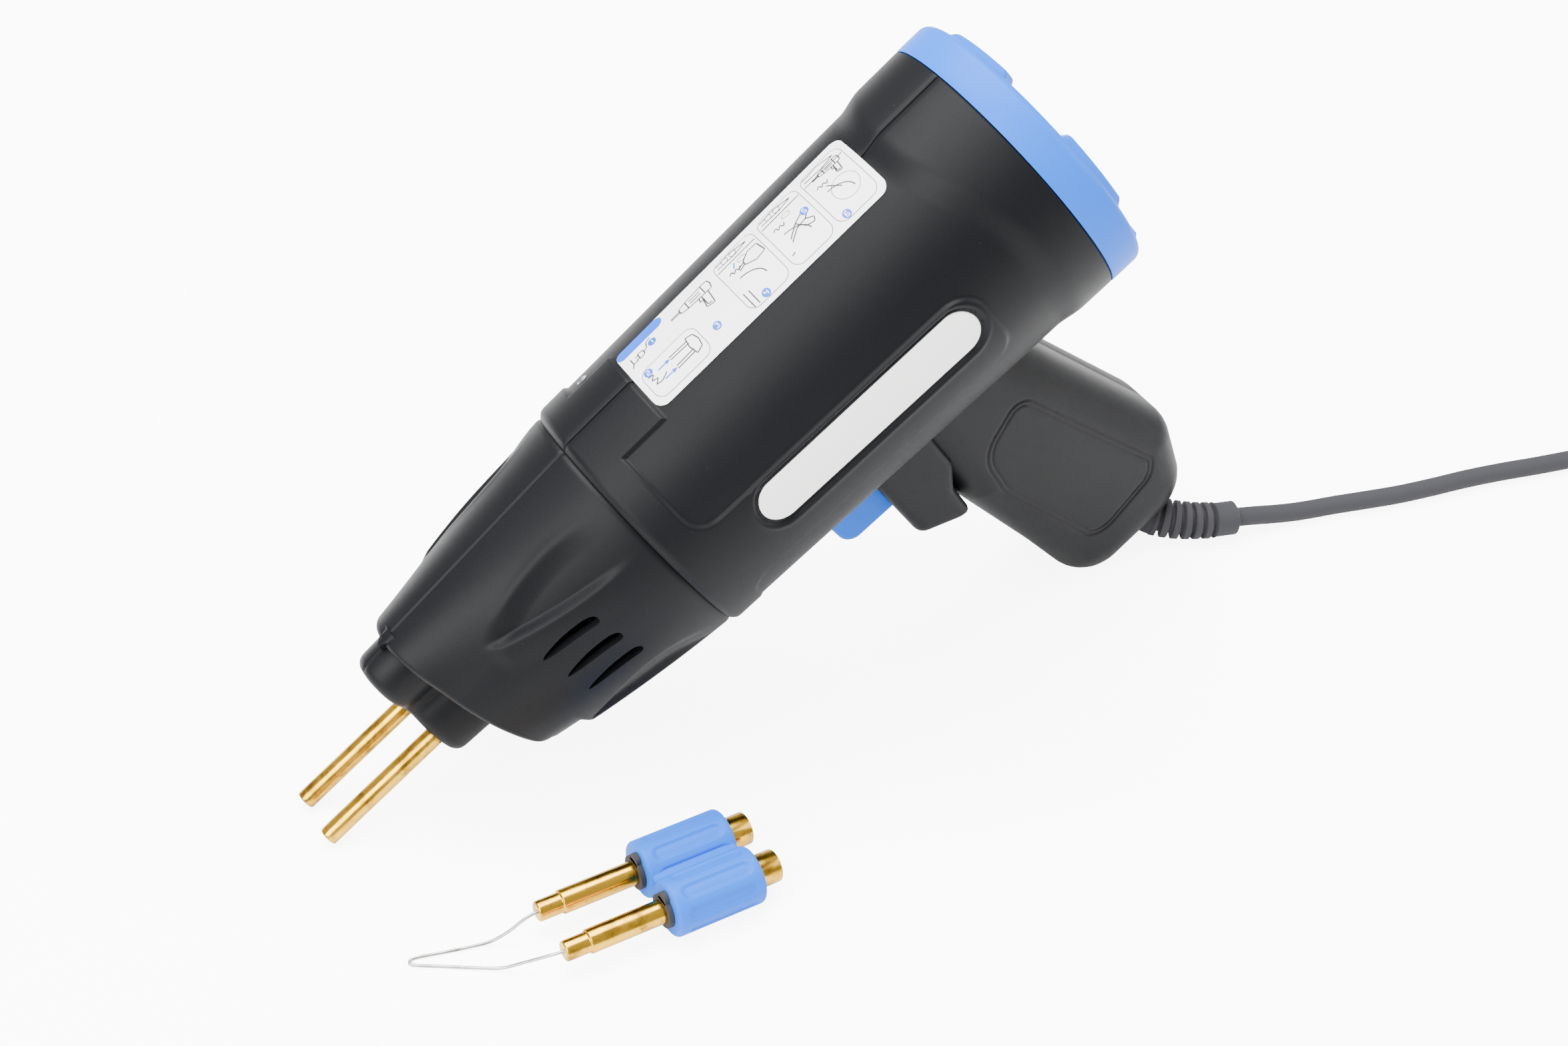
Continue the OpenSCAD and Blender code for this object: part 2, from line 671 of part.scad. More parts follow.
module terminal_block() {
    color("ivory") in_gun() difference() {
        box([232, -9, -111], [250, 9, -97]);
        for (y = [-5, 5]) translate([244, y, -104]) rotate([0, 90, 0]) cylinder(h = 20, r = 1.8);
        for (y = [-5, 5]) rod_u(225, 14, 1.8, y, -104);
    }
}

module internal_leads() {
    color([0.35, 0.2, 0.12]) in_gun() {
        for (path = [mains_lead_a, mains_lead_b, coil_lead_a, coil_lead_b, switch_lead])
            tube(smooth(path, 4), 0.9, 6, [1, 0, 0]);
    }
}

// ---- Mains cord ---------------------------------------------------------------------

// Stands children up along the sleeve's straight start, z = 0 at its inner end
module along_sleeve() {
    a = sleeve_route[3] - sleeve_route[0];
    translate(sleeve_route[0]) rotate([0, acos(a[2] / norm(a)), atan2(a[1], a[0])]) children();
}

module sleeve_hole() {
    along_sleeve() translate([0, 0, -3]) cylinder(h = 32, r = 7.8);
}

// Radius of the sleeve at ring i: an inner flange, six ribs, then the end collar
function sleeve_r(i, n) = i < 4 ? 7.4 : i > n - 7 ? 5.8 : i % 4 < 2 ? 6.9 - i / n : 5.3;

module strain_relief() {
    path = smooth(sleeve_route, 6);
    n = len(path);
    color([0.13, 0.135, 0.145]) on_table() difference() {
        ringed_tube(path, [for (i = [0 : n - 1]) sleeve_r(i, n)], 16, [0, 0, 1]);
        tube(concat([sleeve_route[0] - [1.4, -1.3, -0.8]], path, [[330, -22.5, 6.9]]), cord_d / 2 + 0.02, 12);
    }
}

module cord_clamp() {
    color([0.16, 0.16, 0.17]) in_gun() difference() {
        box([249, -13, -150], [257, 13, -146]);
        for (y = [-9.5, 9.5]) translate([253, y, -152]) cylinder(h = 10, r = 1.7);
    }
}

module clamp_bridge_screws() {
    color(steel) in_gun() for (y = [-9.5, 9.5]) translate([253, y, -149]) {
        cylinder(h = 3, r = 1.6);
        translate([0, 0, 3]) cylinder(h = 2, r = 3);
    }
}

module power_cord() {
    color([0.09, 0.09, 0.1]) on_table() tube(smooth(cord_route, 4), cord_d / 2, 12);
}

module cord_coil() {
    r0 = coil_r - coil_half;
    r1 = coil_r + coil_half;
    color([0.09, 0.09, 0.1]) on_table() translate([coil_centre[0], coil_centre[1], 0]) rotate_extrude($fn = 96)
        polygon([[r0 + 1.5, 0], [r1 - 1.5, 0], [r1, 1.5], [r1, coil_top - 1.5], [r1 - 1.5, coil_top],
            [r0 + 1.5, coil_top], [r0, coil_top - 1.5], [r0, 1.5]]);
}

module coil_tie() {
    reach = coil_half + 1;
    color([0.2, 0.2, 0.21]) on_table() translate([coil_centre[0] - coil_r, coil_centre[1], 0]) difference() {
        box([-reach, -4, 0], [reach, 4, coil_top + 0.8]);
        box([-coil_half, -5, -1], [coil_half, 5, coil_top]);
    }
}

module plug_body() {
    outline = round_corners([[-17.6, -plug_len], [-17.6, -18], [-6, 0], [6, 0], [17.6, -18], [17.6, -plug_len]],
        [1.5, 8, 5, 5, 8, 1.5]);
    color([0.1, 0.1, 0.11]) on_table() translate([plug_x, plug_y, coil_top]) mirror([0, 1, 0]) {
        linear_extrude(height = plug_t) polygon(outline);
        translate([0, -1, plug_t / 2]) rotate([-90, 0, 17]) cylinder(h = 19, r = 4.6);
    }
}

module plug_pins() {
    color(steel) on_table() for (x = [-9.3, 9.3]) translate([plug_x + x, plug_y + plug_len, coil_top + plug_t / 2])
        rotate([-90, 0, 0]) {
            cylinder(h = 17.6, r = 2);
            translate([0, 0, 17.6]) cylinder(h = 1.4, r1 = 2, r2 = 1.2);
        }
}

// ---- Smoothing tip ------------------------------------------------------------------

// A cylinder along X on one of the tip's two axes, in the table frame
module tip_bar(x0, x1, r, y) {
    translate([x0, y, tip_block_r]) rotate([0, 90, 0]) cylinder(h = x1 - x0, r = r);
}

module tip_block() {
    color(blue) on_table() difference() {
        union() {
            for (y = tip_y) tip_bar(tip_front_x, tip_rear_x, tip_block_r, y);
            box([tip_front_x, tip_y[1], 3.2], [tip_rear_x, tip_y[0], 2 * tip_block_r - 3.2]);
        }
        for (y = tip_y) {
            tip_bar(84, tip_rear_x + 1, 5, y);
            tip_bar(tip_front_x - 1, 85, 3.65, y);
        }
    }
}

module tip_sockets() {
    color(brass) on_table() for (y = tip_y) difference() {
        tip_bar(84, tip_end_x, 5, y);
        tip_bar(90, tip_end_x + 1, tip_bore_r, y);
    }
}

module tip_tubes() {
    color(brass) on_table() for (y = tip_y) difference() {
        union() {
            tip_bar(tip_nose_x, tip_step_x + 1, 3.1, y);
            tip_bar(tip_step_x, 84, 3.65, y);
        }
        tip_bar(tip_nose_x - 1, tip_nose_x + 4, 0.55, y);
    }
}

module tip_clips() {
    color([0.08, 0.08, 0.09]) on_table() for (y = tip_y) difference() {
        union() {
            tip_bar(tip_front_x - 1.6, tip_front_x, 5.4, y);
            box([tip_front_x - 1.6, y - 2.2, tip_block_r + 3], [tip_front_x, y + 2.2, tip_block_r + 7.4]);
        }
        tip_bar(tip_front_x - 3, tip_front_x + 1, 3.65, y);
        translate([tip_front_x - 3, y, tip_block_r + 5.6]) rotate([0, 90, 0]) cylinder(h = 5, r = 0.9);
    }
}

module tip_wire() {
    color(steel) on_table() tube(smooth(wire_route, 3), 0.5, 8);
}

// ---- Nodes --------------------------------------------------------------------------

housing(-1);  // housing_left
housing(1);  // housing_right
nose(-1);  // nose_left
nose(1);  // nose_right
snout(-1);  // snout_left
snout(1);  // snout_right
rear_cap();
plate(-1);  // plate_left
plate(1);  // plate_right
instruction_label();
housing_screws();
brass_rod(-1);  // rod_left
brass_rod(1);  // rod_right
rod_insulator();
rod_clamps();
clamp_screws();
bus_bar(-1);  // bus_bar_left
bus_bar(1);  // bus_bar_right
core();
core_frame();
core_bolts();
bobbin();
primary_winding();
secondary_winding();
thermal_cutout();
work_light();
light_board();
light_lens();
switch_body();
trigger_spring();
trigger();
switch_plunger();
terminal_block();
internal_leads();
cord_clamp();
clamp_bridge_screws();
strain_relief();
power_cord();
cord_coil();
coil_tie();
plug_body();
plug_pins();
tip_block();
tip_sockets();
tip_tubes();
tip_clips();
tip_wire();
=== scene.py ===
"""Looks of a pistol-grip hot stapler that stands nose down beside its slip-on smoothing tip.

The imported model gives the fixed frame. Each class below stands for one sub-assembly: it holds its
sizes in millimetres, works out its surfaces as whole numpy arrays, and dresses them in materials.
Two frames are used. The gun frame has u along the barrel from the rod tips, v away from the grip
and y across it. The table frame has x and y on the table and z up, with x = 0 under the rod tips.
"""
import logging
import math
from dataclasses import dataclass
from enum import Enum

import bmesh
import bpy
import numpy as np
from mathutils import Matrix, Vector


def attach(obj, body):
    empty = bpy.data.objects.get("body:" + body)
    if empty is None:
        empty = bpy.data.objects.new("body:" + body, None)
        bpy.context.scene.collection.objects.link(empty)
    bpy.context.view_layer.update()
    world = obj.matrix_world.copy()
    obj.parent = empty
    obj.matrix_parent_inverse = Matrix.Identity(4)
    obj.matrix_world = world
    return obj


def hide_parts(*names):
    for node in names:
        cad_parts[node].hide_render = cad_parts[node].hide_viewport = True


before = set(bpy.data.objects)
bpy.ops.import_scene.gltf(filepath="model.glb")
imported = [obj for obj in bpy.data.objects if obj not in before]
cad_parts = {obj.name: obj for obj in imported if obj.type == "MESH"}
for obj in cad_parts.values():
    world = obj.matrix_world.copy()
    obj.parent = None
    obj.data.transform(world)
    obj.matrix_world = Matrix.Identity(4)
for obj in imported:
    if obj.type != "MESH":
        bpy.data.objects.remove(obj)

LOG = logging.getLogger("hot_stapler")
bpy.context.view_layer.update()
MM = 0.001

PITCH = math.radians(35.0)
ORIGIN = np.array([152.3, -24.8, 0.0])
REST_Z = 2.0 * math.cos(PITCH)
GRAIN_DEPTH = 0.0001


class Side(Enum):
    """The two halves of the tool, by the sign of their y."""

    LEFT = -1.0
    RIGHT = 1.0


# ---- frames and arrays -------------------------------------------------------------------------


def from_table(points: np.ndarray) -> np.ndarray:
    """Carries table-frame points in millimetres into the part's frame in metres.

    Args:
        points: array whose last axis is x, y, z.

    Returns:
        An array of the same shape.
    """
    return (np.asarray(points, float) - ORIGIN) * MM


def from_gun(u: np.ndarray, y: np.ndarray, v: np.ndarray) -> np.ndarray:
    """Carries gun-frame coordinates into the part's frame: a turn by the pitch, then a lift.

    Args:
        u: distance behind the rod tips, millimetres.
        y: distance to the right of the parting plane.
        v: height above the barrel axis.

    Returns:
        Points in metres, with a new last axis of length 3.
    """
    u, y, v = np.broadcast_arrays(u, y, v)
    x = u * math.cos(PITCH) - v * math.sin(PITCH)
    z = u * math.sin(PITCH) + v * math.cos(PITCH) + REST_Z
    return from_table(np.stack([x, y, z], -1))


def arc_row(side: Side, u: float | np.ndarray, r: float | np.ndarray, deg: np.ndarray) -> np.ndarray:
    """One row of points round half the barrel: radius r at each angle from the top.

    Args:
        side: which half.
        u: distance behind the rod tips, one number or one per angle.
        r: radius, one number or one per angle.
        deg: angles from the top towards the side.

    Returns:
        Points in metres, one per angle.
    """
    ang = np.radians(deg)
    return from_gun(u, side.value * r * np.sin(ang), r * np.cos(ang))


def ease(x: np.ndarray, lo: float, hi: float) -> np.ndarray:
    """Smooth step: 0 below lo, 1 above hi, 3t^2 - 2t^3 in between."""
    t = np.clip((np.asarray(x, float) - lo) / (hi - lo), 0.0, 1.0)
    return t * t * (3.0 - 2.0 * t)


def bell(x: np.ndarray, centre: float, width: float) -> np.ndarray:
    """Gaussian bump: exp of minus the squared distance from the centre over the width."""
    return np.exp(-(((np.asarray(x, float) - centre) / width) ** 2))


def lines(*stretches: tuple[float, float, float]) -> np.ndarray:
    """Grid lines with their own spacing on each stretch.

    Args:
        stretches: (start, end, step) of each stretch, end to end.

    Returns:
        The rising list of line positions.
    """
    parts = [np.linspace(a, b, max(2, int(round((b - a) / step)) + 1))[:-1] for a, b, step in stretches]
    return np.concatenate([*parts, [stretches[-1][1]]])


def soft_corner_path(corners: list[tuple[float, float]], radii: list[float], step: float) -> np.ndarray:
    """Closed outline with its corners rounded, sampled at even distances.

    Each corner is replaced by the arc that touches both of its sides, and the whole line is then
    resampled by arc length.

    Args:
        corners: corner points in order.
        radii: radius of each corner.
        step: distance between samples.

    Returns:
        Points of shape (n, 2), not repeating the first one.
    """
    p = np.array(corners, float)
    out = []
    for k in range(len(p)):
        a, b, c = p[k - 1], p[k], p[(k + 1) % len(p)]
        e1, e2 = (a - b) / np.linalg.norm(a - b), (c - b) / np.linalg.norm(c - b)
        half = math.acos(float(np.clip(e1 @ e2, -1, 1))) / 2
        bis = (e1 + e2) / np.linalg.norm(e1 + e2)
        centre = b + bis * radii[k] / math.sin(half)
        q1, q2 = b + e1 * radii[k] / math.tan(half) - centre, b + e2 * radii[k] / math.tan(half) - centre
        a1, a2 = math.atan2(q1[1], q1[0]), math.atan2(q2[1], q2[0])
        turn = (a2 - a1 + math.pi) % (2 * math.pi) - math.pi
        ang = a1 + turn * np.linspace(0, 1, 24)
        out.append(centre + radii[k] * np.stack([np.cos(ang), np.sin(ang)], -1))
    return resample(np.concatenate(out), step, closed=True)


def resample(path: np.ndarray, step: float, closed: bool = False) -> np.ndarray:
    """Points at even arc length along a polyline of any dimension.

    Args:
        path: points of shape (n, d).
        step: wanted distance between samples.
        closed: whether the line returns to its start.

    Returns:
        The resampled points; a closed line doesn't repeat its first point.
    """
    full = np.concatenate([path, path[:1]]) if closed else path
    seg = np.linalg.norm(np.diff(full, axis=0), axis=1)
    keep = np.concatenate([[True], seg > 1e-9])
    full = full[keep]
    at = np.concatenate([[0.0], np.cumsum(np.linalg.norm(np.diff(full, axis=0), axis=1))])
    count = max(4, int(round(at[-1] / step)))
    want = np.linspace(0, at[-1], count + 1)
    if closed:
        want = want[:-1]
    return np.stack([np.interp(want, at, full[:, k]) for k in range(full.shape[1])], -1)


def smooth_curve(points: np.ndarray, step: float) -> np.ndarray:
    """Catmull-Rom curve through the points, resampled at even arc length."""
    p = np.asarray(points, float)
    p = np.concatenate([2 * p[:1] - p[1:2], p, 2 * p[-1:] - p[-2:-1]])
    t = np.linspace(0, 1, 16, endpoint=False)[None, :, None]
    a, b, c, d = (p[k : len(p) - 3 + k, None, :] for k in range(4))
    q = 0.5 * (2 * b + (c - a) * t + (2 * a - 5 * b + 4 * c - d) * t**2 + (3 * b - a - 3 * c + d) * t**3)
    return resample(np.concatenate([q.reshape(-1, p.shape[1]), points[-1:]]), step)


def distance_to(points: np.ndarray, line: np.ndarray, closed: bool = True) -> np.ndarray:
    """Distance from each point to a polyline: the least over all its segments.

    Args:
        points: array of shape (..., 2).
        line: polyline of shape (n, 2).
        closed: whether the line returns to its start.

    Returns:
        Distances of shape (...).
    """
    a = line if closed else line[:-1]
    b = np.roll(line, -1, 0) if closed else line[1:]
    best = np.full(points.shape[:-1], 1e9)
    flat, out = points.reshape(-1, 2), best.reshape(-1)
    for first in range(0, len(flat), 4000):
        p = flat[first : first + 4000, None, :]
        ab = (b - a)[None]
        t = np.clip(((p - a) * ab).sum(-1) / np.maximum((ab**2).sum(-1), 1e-12), 0, 1)
        out[first : first + 4000] = np.linalg.norm(p - a - t[..., None] * ab, axis=-1).min(1)
    return out.reshape(points.shape[:-1])


def inside(points: np.ndarray, line: np.ndarray) -> np.ndarray:
    """Whether each point is in a closed outline, by the even-odd count of crossings."""
    a, b = line[None], np.roll(line, -1, 0)[None]
    flat = points.reshape(-1, 1, 2)
    crosses = (a[..., 1] > flat[..., 1]) != (b[..., 1] > flat[..., 1])
    dy = np.where(np.abs(b[..., 1] - a[..., 1]) < 1e-12, 1e-12, b[..., 1] - a[..., 1])
    x = a[..., 0] + (flat[..., 1] - a[..., 1]) * (b[..., 0] - a[..., 0]) / dy
    return ((crosses & (flat[..., 0] < x)).sum(1) % 2 == 1).reshape(points.shape[:-1])


# ---- meshes ------------------------------------------------------------------------------------


@dataclass
class Sheet:
    """One grid of points that becomes quads.

    rows x cols points in metres; wrap joins the last column to the first; caps close the first and
    last rows with one face each. Faces point away from the point about, or from the sheet's middle.
    """

    points: np.ndarray
    wrap: bool = False
    caps: tuple[bool, bool] = (False, False)
    about: np.ndarray | None = None

    def inward(self) -> bool:
        """Whether the quads as listed face inwards.

        Each quad's area vector is half the cross product of its diagonals; the sign of the sum of
        area vector times position, measured from the middle point, tells inside from outside.
        """
        p = np.concatenate([self.points, self.points[:, :1]], 1) if self.wrap else self.points
        area = np.cross(p[1:, 1:] - p[:-1, :-1], p[1:, :-1] - p[:-1, 1:])
        middle = (p[1:, 1:] + p[:-1, :-1] + p[1:, :-1] + p[:-1, 1:]) / 4
        about = self.points.reshape(-1, 3).mean(0) if self.about is None else self.about
        return float((area * (middle - about)).sum()) < 0

    def faces(self, first: int) -> list[np.ndarray]:
        """Quads between neighbouring rows and columns, then the end faces.

        Args:
            first: index of this sheet's first vertex.

        Returns:
            Arrays of vertex indices, one per face group of equal length.
        """
        n, m = self.points.shape[:2]
        turned = self.inward()
        index = first + np.arange(n * m).reshape(n, m)
        right = np.roll(index, -1, 1) if self.wrap else index[:, 1:]
        left = index if self.wrap else index[:, :-1]
        quads = np.stack([left[:-1], right[:-1], right[1:], left[1:]], -1).reshape(-1, 4)
        groups = [quads[:, ::-1] if turned else quads]
        if self.caps[0]:
            groups.append(index[:1] if turned else index[:1, ::-1])
        if self.caps[1]:
            groups.append(index[-1:, ::-1] if turned else index[-1:])
        return groups


def build(name: str, sheets: list[Sheet], weld: float = 0.0, sharp: float = 35.0) -> bpy.types.Object:
    """Makes one object from sheets, shaded smooth except across edges sharper than an angle.

    Args:
        name: the piece's name.
        sheets: its grids.
        weld: distance in millimetres under which points are merged; 0 leaves them.
        sharp: angle in degrees past which an edge stays sharp.

    Returns:
        The new object, linked to the scene.
    """
    verts = np.concatenate([s.points.reshape(-1, 3) for s in sheets])
    offsets = np.cumsum([0] + [s.points.shape[0] * s.points.shape[1] for s in sheets])
    groups = [g for s, first in zip(sheets, offsets) for g in s.faces(int(first))]
    loops = np.concatenate([g.ravel() for g in groups]).astype(np.int32)
    totals = np.concatenate([np.full(len(g), g.shape[1]) for g in groups]).astype(np.int32)
    mesh = bpy.data.meshes.new(name)
    mesh.vertices.add(len(verts))
    mesh.vertices.foreach_set("co", verts.astype(np.float32).ravel())
    mesh.loops.add(len(loops))
    mesh.loops.foreach_set("vertex_index", loops)
    mesh.polygons.add(len(totals))
    mesh.polygons.foreach_set("loop_start", np.concatenate([[0], np.cumsum(totals)[:-1]]).astype(np.int32))
    mesh.update(calc_edges=True)
    mesh.validate()
    if weld:
        bm = bmesh.new()
        bm.from_mesh(mesh)
        bmesh.ops.remove_doubles(bm, verts=bm.verts, dist=weld * MM)
        bm.to_mesh(mesh)
        bm.free()
    mesh.polygons.foreach_set("use_smooth", np.ones(len(mesh.polygons), bool))
    mesh.set_sharp_from_angle(angle=math.radians(sharp))
    obj = bpy.data.objects.new(name, mesh)
    bpy.context.scene.collection.objects.link(obj)
    return obj


def ring_rows(centre: np.ndarray, a: np.ndarray, b: np.ndarray, radii: np.ndarray, sides: int) -> np.ndarray:
    """Rings about a line: centre + radius (cos t a + sin t b) at even angles t.

    Args:
        centre: ring centres, shape (n, 3).
        a: first cross direction of each ring, shape (n, 3) or (3,).
        b: second cross direction.
        radii: radius of each ring.
        sides: points on a ring.

    Returns:
        Points of shape (n, sides, 3).
    """
    t = np.linspace(0, 2 * math.pi, sides, endpoint=False)
    a, b = np.broadcast_to(a, centre.shape), np.broadcast_to(b, centre.shape)
    turn = np.cos(t)[None, :, None] * a[:, None] + np.sin(t)[None, :, None] * b[:, None]
    return centre[:, None] + np.asarray(radii)[:, None, None] * turn


def swept(path: np.ndarray, radii: np.ndarray, sides: int = 16, up: tuple = (0.0, 0.0, 1.0)) -> Sheet:
    """Round tube along a table-frame path: rings square to it, level with the up direction.

    Args:
        path: centre line in table-frame millimetres, shape (n, 3).
        radii: one radius for each point.
        sides: points on a ring.
        up: a direction that the path never follows.

    Returns:
        A wrapped sheet with both ends closed.
    """
    tangent = np.gradient(path, axis=0)
    tangent /= np.linalg.norm(tangent, axis=1, keepdims=True)
    a = np.cross(tangent, np.array(up, float))
    a /= np.linalg.norm(a, axis=1, keepdims=True)
    b = np.cross(a, tangent)
    return Sheet(from_table(ring_rows(path, a, b, radii, sides)), wrap=True, caps=(True, True))


def turned_profile(profile: np.ndarray, y: float = 0.0, v: float = 0.0, sides: int = 64) -> Sheet:
    """Solid of revolution about a line along the barrel.

    Args:
        profile: (u, radius) pairs from front to back.
        y: the axis's distance to the right.
        v: the axis's height.
        sides: points on a ring.

    Returns:
        A wrapped sheet with both ends closed.
    """
    t = np.linspace(0, 2 * math.pi, sides, endpoint=False)
    u, r = profile[:, :1], profile[:, 1:]
    points = from_gun(u + 0 * t, y + r * np.sin(t), v + r * np.cos(t))
    return Sheet(points, wrap=True, caps=(True, True))


def table_turned(profile: np.ndarray, y: float, z: float, sides: int = 48) -> Sheet:
    """Solid of revolution about a line along x on the table; profile holds (x, radius)."""
    t = np.linspace(0, 2 * math.pi, sides, endpoint=False)
    x, r = profile[:, :1], profile[:, 1:]
    points = np.stack(np.broadcast_arrays(x + 0 * t, y + r * np.sin(t), z + r * np.cos(t)), -1)
    return Sheet(from_table(points), wrap=True, caps=(True, True))


def rounded_profile(points: list[tuple[float, float]], radius: float, steps: int = 4) -> np.ndarray:
    """Open (position, radius) profile with each inner corner replaced by a small arc of points."""
    p = np.array(points, float)
    out = [p[0]]
    for a, b, c in zip(p[:-2], p[1:-1], p[2:]):
        la, lc = np.linalg.norm(a - b), np.linalg.norm(c - b)
        cut = min(radius, 0.45 * la, 0.45 * lc)
        s, e = b + (a - b) / la * cut, b + (c - b) / lc * cut
        t = np.linspace(0, 1, steps + 1)[:, None]
        out.extend((1 - t) ** 2 * s + 2 * t * (1 - t) * b + t**2 * e)
    out.append(p[-1])
    return np.array(out)


def shell(obj: bpy.types.Object, thickness: float) -> None:
    """Gives a skin a wall on its inner side."""
    mod = obj.modifiers.new("wall", "SOLIDIFY")
    mod.thickness = thickness * MM
    mod.offset = -1.0
    mod.use_even_offset = False


def apply_modifiers(obj: bpy.types.Object, sharp: float = 35.0) -> None:
    """Replaces the object's mesh by its evaluated mesh and keeps its hard edges."""
    graph = bpy.context.evaluated_depsgraph_get()
    new = bpy.data.meshes.new_from_object(obj.evaluated_get(graph))
    obj.modifiers.clear()
    obj.data = new
    new.polygons.foreach_set("use_smooth", np.ones(len(new.polygons), bool))
    new.set_sharp_from_angle(angle=math.radians(sharp))


def cut_with(obj: bpy.types.Object, cutters: list[bpy.types.Object], sharp: float = 35.0) -> None:
    """Cuts the cutters' solids out of the object and removes the cutters."""
    for cutter in cutters:
        mod = obj.modifiers.new("cut", "BOOLEAN")
        mod.operation = "DIFFERENCE"
        mod.solver = "EXACT"
        mod.object = cutter
    bpy.context.view_layer.update()
    apply_modifiers(obj, sharp)
    for cutter in cutters:
        bpy.data.objects.remove(cutter)


# ---- node groups and finishes ------------------------------------------------------------------


def new_group(name: str, inputs: dict[str, float], outputs: dict[str, str]) -> tuple:
    """Starts a shader node group.

    Args:
        name: the group's name.
        inputs: number inputs with their defaults.
        outputs: output names with their socket types.

    Returns:
        The group, its input node and its output node.
    """
    group = bpy.data.node_groups.new(name, "ShaderNodeTree")
    for key, value in inputs.items():
        group.interface.new_socket(key, in_out="INPUT", socket_type="NodeSocketFloat").default_value = value
    for key, kind in outputs.items():
        group.interface.new_socket(key, in_out="OUTPUT", socket_type=kind)
    return group, group.nodes.new("NodeGroupInput"), group.nodes.new("NodeGroupOutput")


def math_node(tree: bpy.types.NodeTree, kind: str, a: object, b: object) -> bpy.types.NodeSocket:
    """Adds a Math node; a and b are sockets or numbers. Returns its output."""
    node = tree.nodes.new("ShaderNodeMath")
    node.operation = kind
    for socket, value in zip(node.inputs, (a, b)):
        if isinstance(value, bpy.types.NodeSocket):
            tree.links.new(value, socket)
        else:
            socket.default_value = value
    return node.outputs[0]


def noise(tree: bpy.types.NodeTree, vector: object, scale: object, detail: float = 2.0,
          rough: float = 0.5) -> object:
    """Adds a Noise Texture on a vector. Returns its value output."""
    node = tree.nodes.new("ShaderNodeTexNoise")
    tree.links.new(vector, node.inputs["Vector"])
    if isinstance(scale, bpy.types.NodeSocket):
        tree.links.new(scale, node.inputs["Scale"])
    else:
        node.inputs["Scale"].default_value = scale
    node.inputs["Detail"].default_value = detail
    node.inputs["Roughness"].default_value = rough
    return node.outputs[0]


def spread(tree: bpy.types.NodeTree, value: object, lo: float, hi: float, out_lo: object,
           out_hi: object) -> object:
    """Adds a clamped Map Range from lo..hi to out_lo..out_hi. Returns its output."""
    node = tree.nodes.new("ShaderNodeMapRange")
    tree.links.new(value, node.inputs["Value"])
    node.inputs["From Min"].default_value, node.inputs["From Max"].default_value = lo, hi
    for key, item in (("To Min", out_lo), ("To Max", out_hi)):
        if isinstance(item, bpy.types.NodeSocket):
            tree.links.new(item, node.inputs[key])
        else:
            node.inputs[key].default_value = item
    return node.outputs[0]


def moulded_surface() -> bpy.types.NodeTree:
    """Spark-eroded mould texture: a fine grain for bump and roughness, with sparse pale dust."""
    name = "moulded_surface"
    if name in bpy.data.node_groups:
        return bpy.data.node_groups[name]
    group, inp, out = new_group(
        name,
        {"Grain": 3000.0, "Dull": 0.5, "Shiny": 0.4, "Dust": 0.02},
        {"Height": "NodeSocketFloat", "Roughness": "NodeSocketFloat", "Dust": "NodeSocketFloat"},
    )
    place = group.nodes.new("ShaderNodeTexCoord").outputs["Object"]
    fine = noise(group, place, inp.outputs["Grain"], 2.0, 0.6)
    broad = noise(group, place, 26.0, 3.0, 0.55)
    group.links.new(fine, out.inputs["Height"])
    shares = (math_node(group, "MULTIPLY", fine, 0.35), math_node(group, "MULTIPLY", broad, 0.65))
    both = math_node(group, "ADD", *shares)
    rough = spread(group, both, 0.3, 0.7, inp.outputs["Shiny"], inp.outputs["Dull"])
    group.links.new(rough, out.inputs["Roughness"])
    cells = group.nodes.new("ShaderNodeTexVoronoi")
    group.links.new(place, cells.inputs["Vector"])
    cells.inputs["Scale"].default_value = 210.0
    speck = spread(group, cells.outputs["Distance"], 0.015, 0.035, 1.0, 0.0)
    sparse = spread(group, noise(group, place, 37.0, 1.0), 0.6, 0.63, 0.0, 1.0)
    dusty = math_node(group, "MULTIPLY", math_node(group, "MULTIPLY", speck, sparse), inp.outputs["Dust"])
    group.links.new(dusty, out.inputs["Dust"])
    return group


def metal_surface() -> bpy.types.NodeTree:
    """Drawn metal: stretched lines for bump and roughness, with a cloudy mask for a second colour: stains, and
    on the brass painted reflections of dark surroundings.
    """
    name = "metal_surface"
    if name in bpy.data.node_groups:
        return bpy.data.node_groups[name]
    group, inp, out = new_group(
        name,
        {"Lines": 900.0, "Dull": 0.4, "Shiny": 0.2, "Stain": 0.5},
        {"Height": "NodeSocketFloat", "Roughness": "NodeSocketFloat", "Stain": "NodeSocketFloat"},
    )
    place = group.nodes.new("ShaderNodeTexCoord").outputs["Object"]
    stretch = group.nodes.new("ShaderNodeMapping")
    stretch.inputs["Scale"].default_value = (0.12, 1.0, 0.4)
    group.links.new(place, stretch.inputs["Vector"])
    grain = noise(group, stretch.outputs[0], inp.outputs["Lines"], 3.0, 0.6)
    cloud = noise(group, place, 130.0, 4.0, 0.62)
    spots = noise(group, place, 420.0, 2.0, 0.5)
    group.links.new(grain, out.inputs["Height"])
    rough = spread(group, grain, 0.3, 0.7, inp.outputs["Shiny"], inp.outputs["Dull"])
    group.links.new(rough, out.inputs["Roughness"])
    # Second-colour mask: stain on most metals; on the brass it paints dark reflections as patches.
    mask = math_node(
        group,
        "ADD",
        spread(group, cloud, 0.48, 0.66, 0.0, 1.0),
        math_node(group, "MULTIPLY", spread(group, spots, 0.6, 0.72, 0.0, 1.0), 0.5),
    )
    group.links.new(math_node(group, "MULTIPLY", mask, inp.outputs["Stain"]), out.inputs["Stain"])
    return group


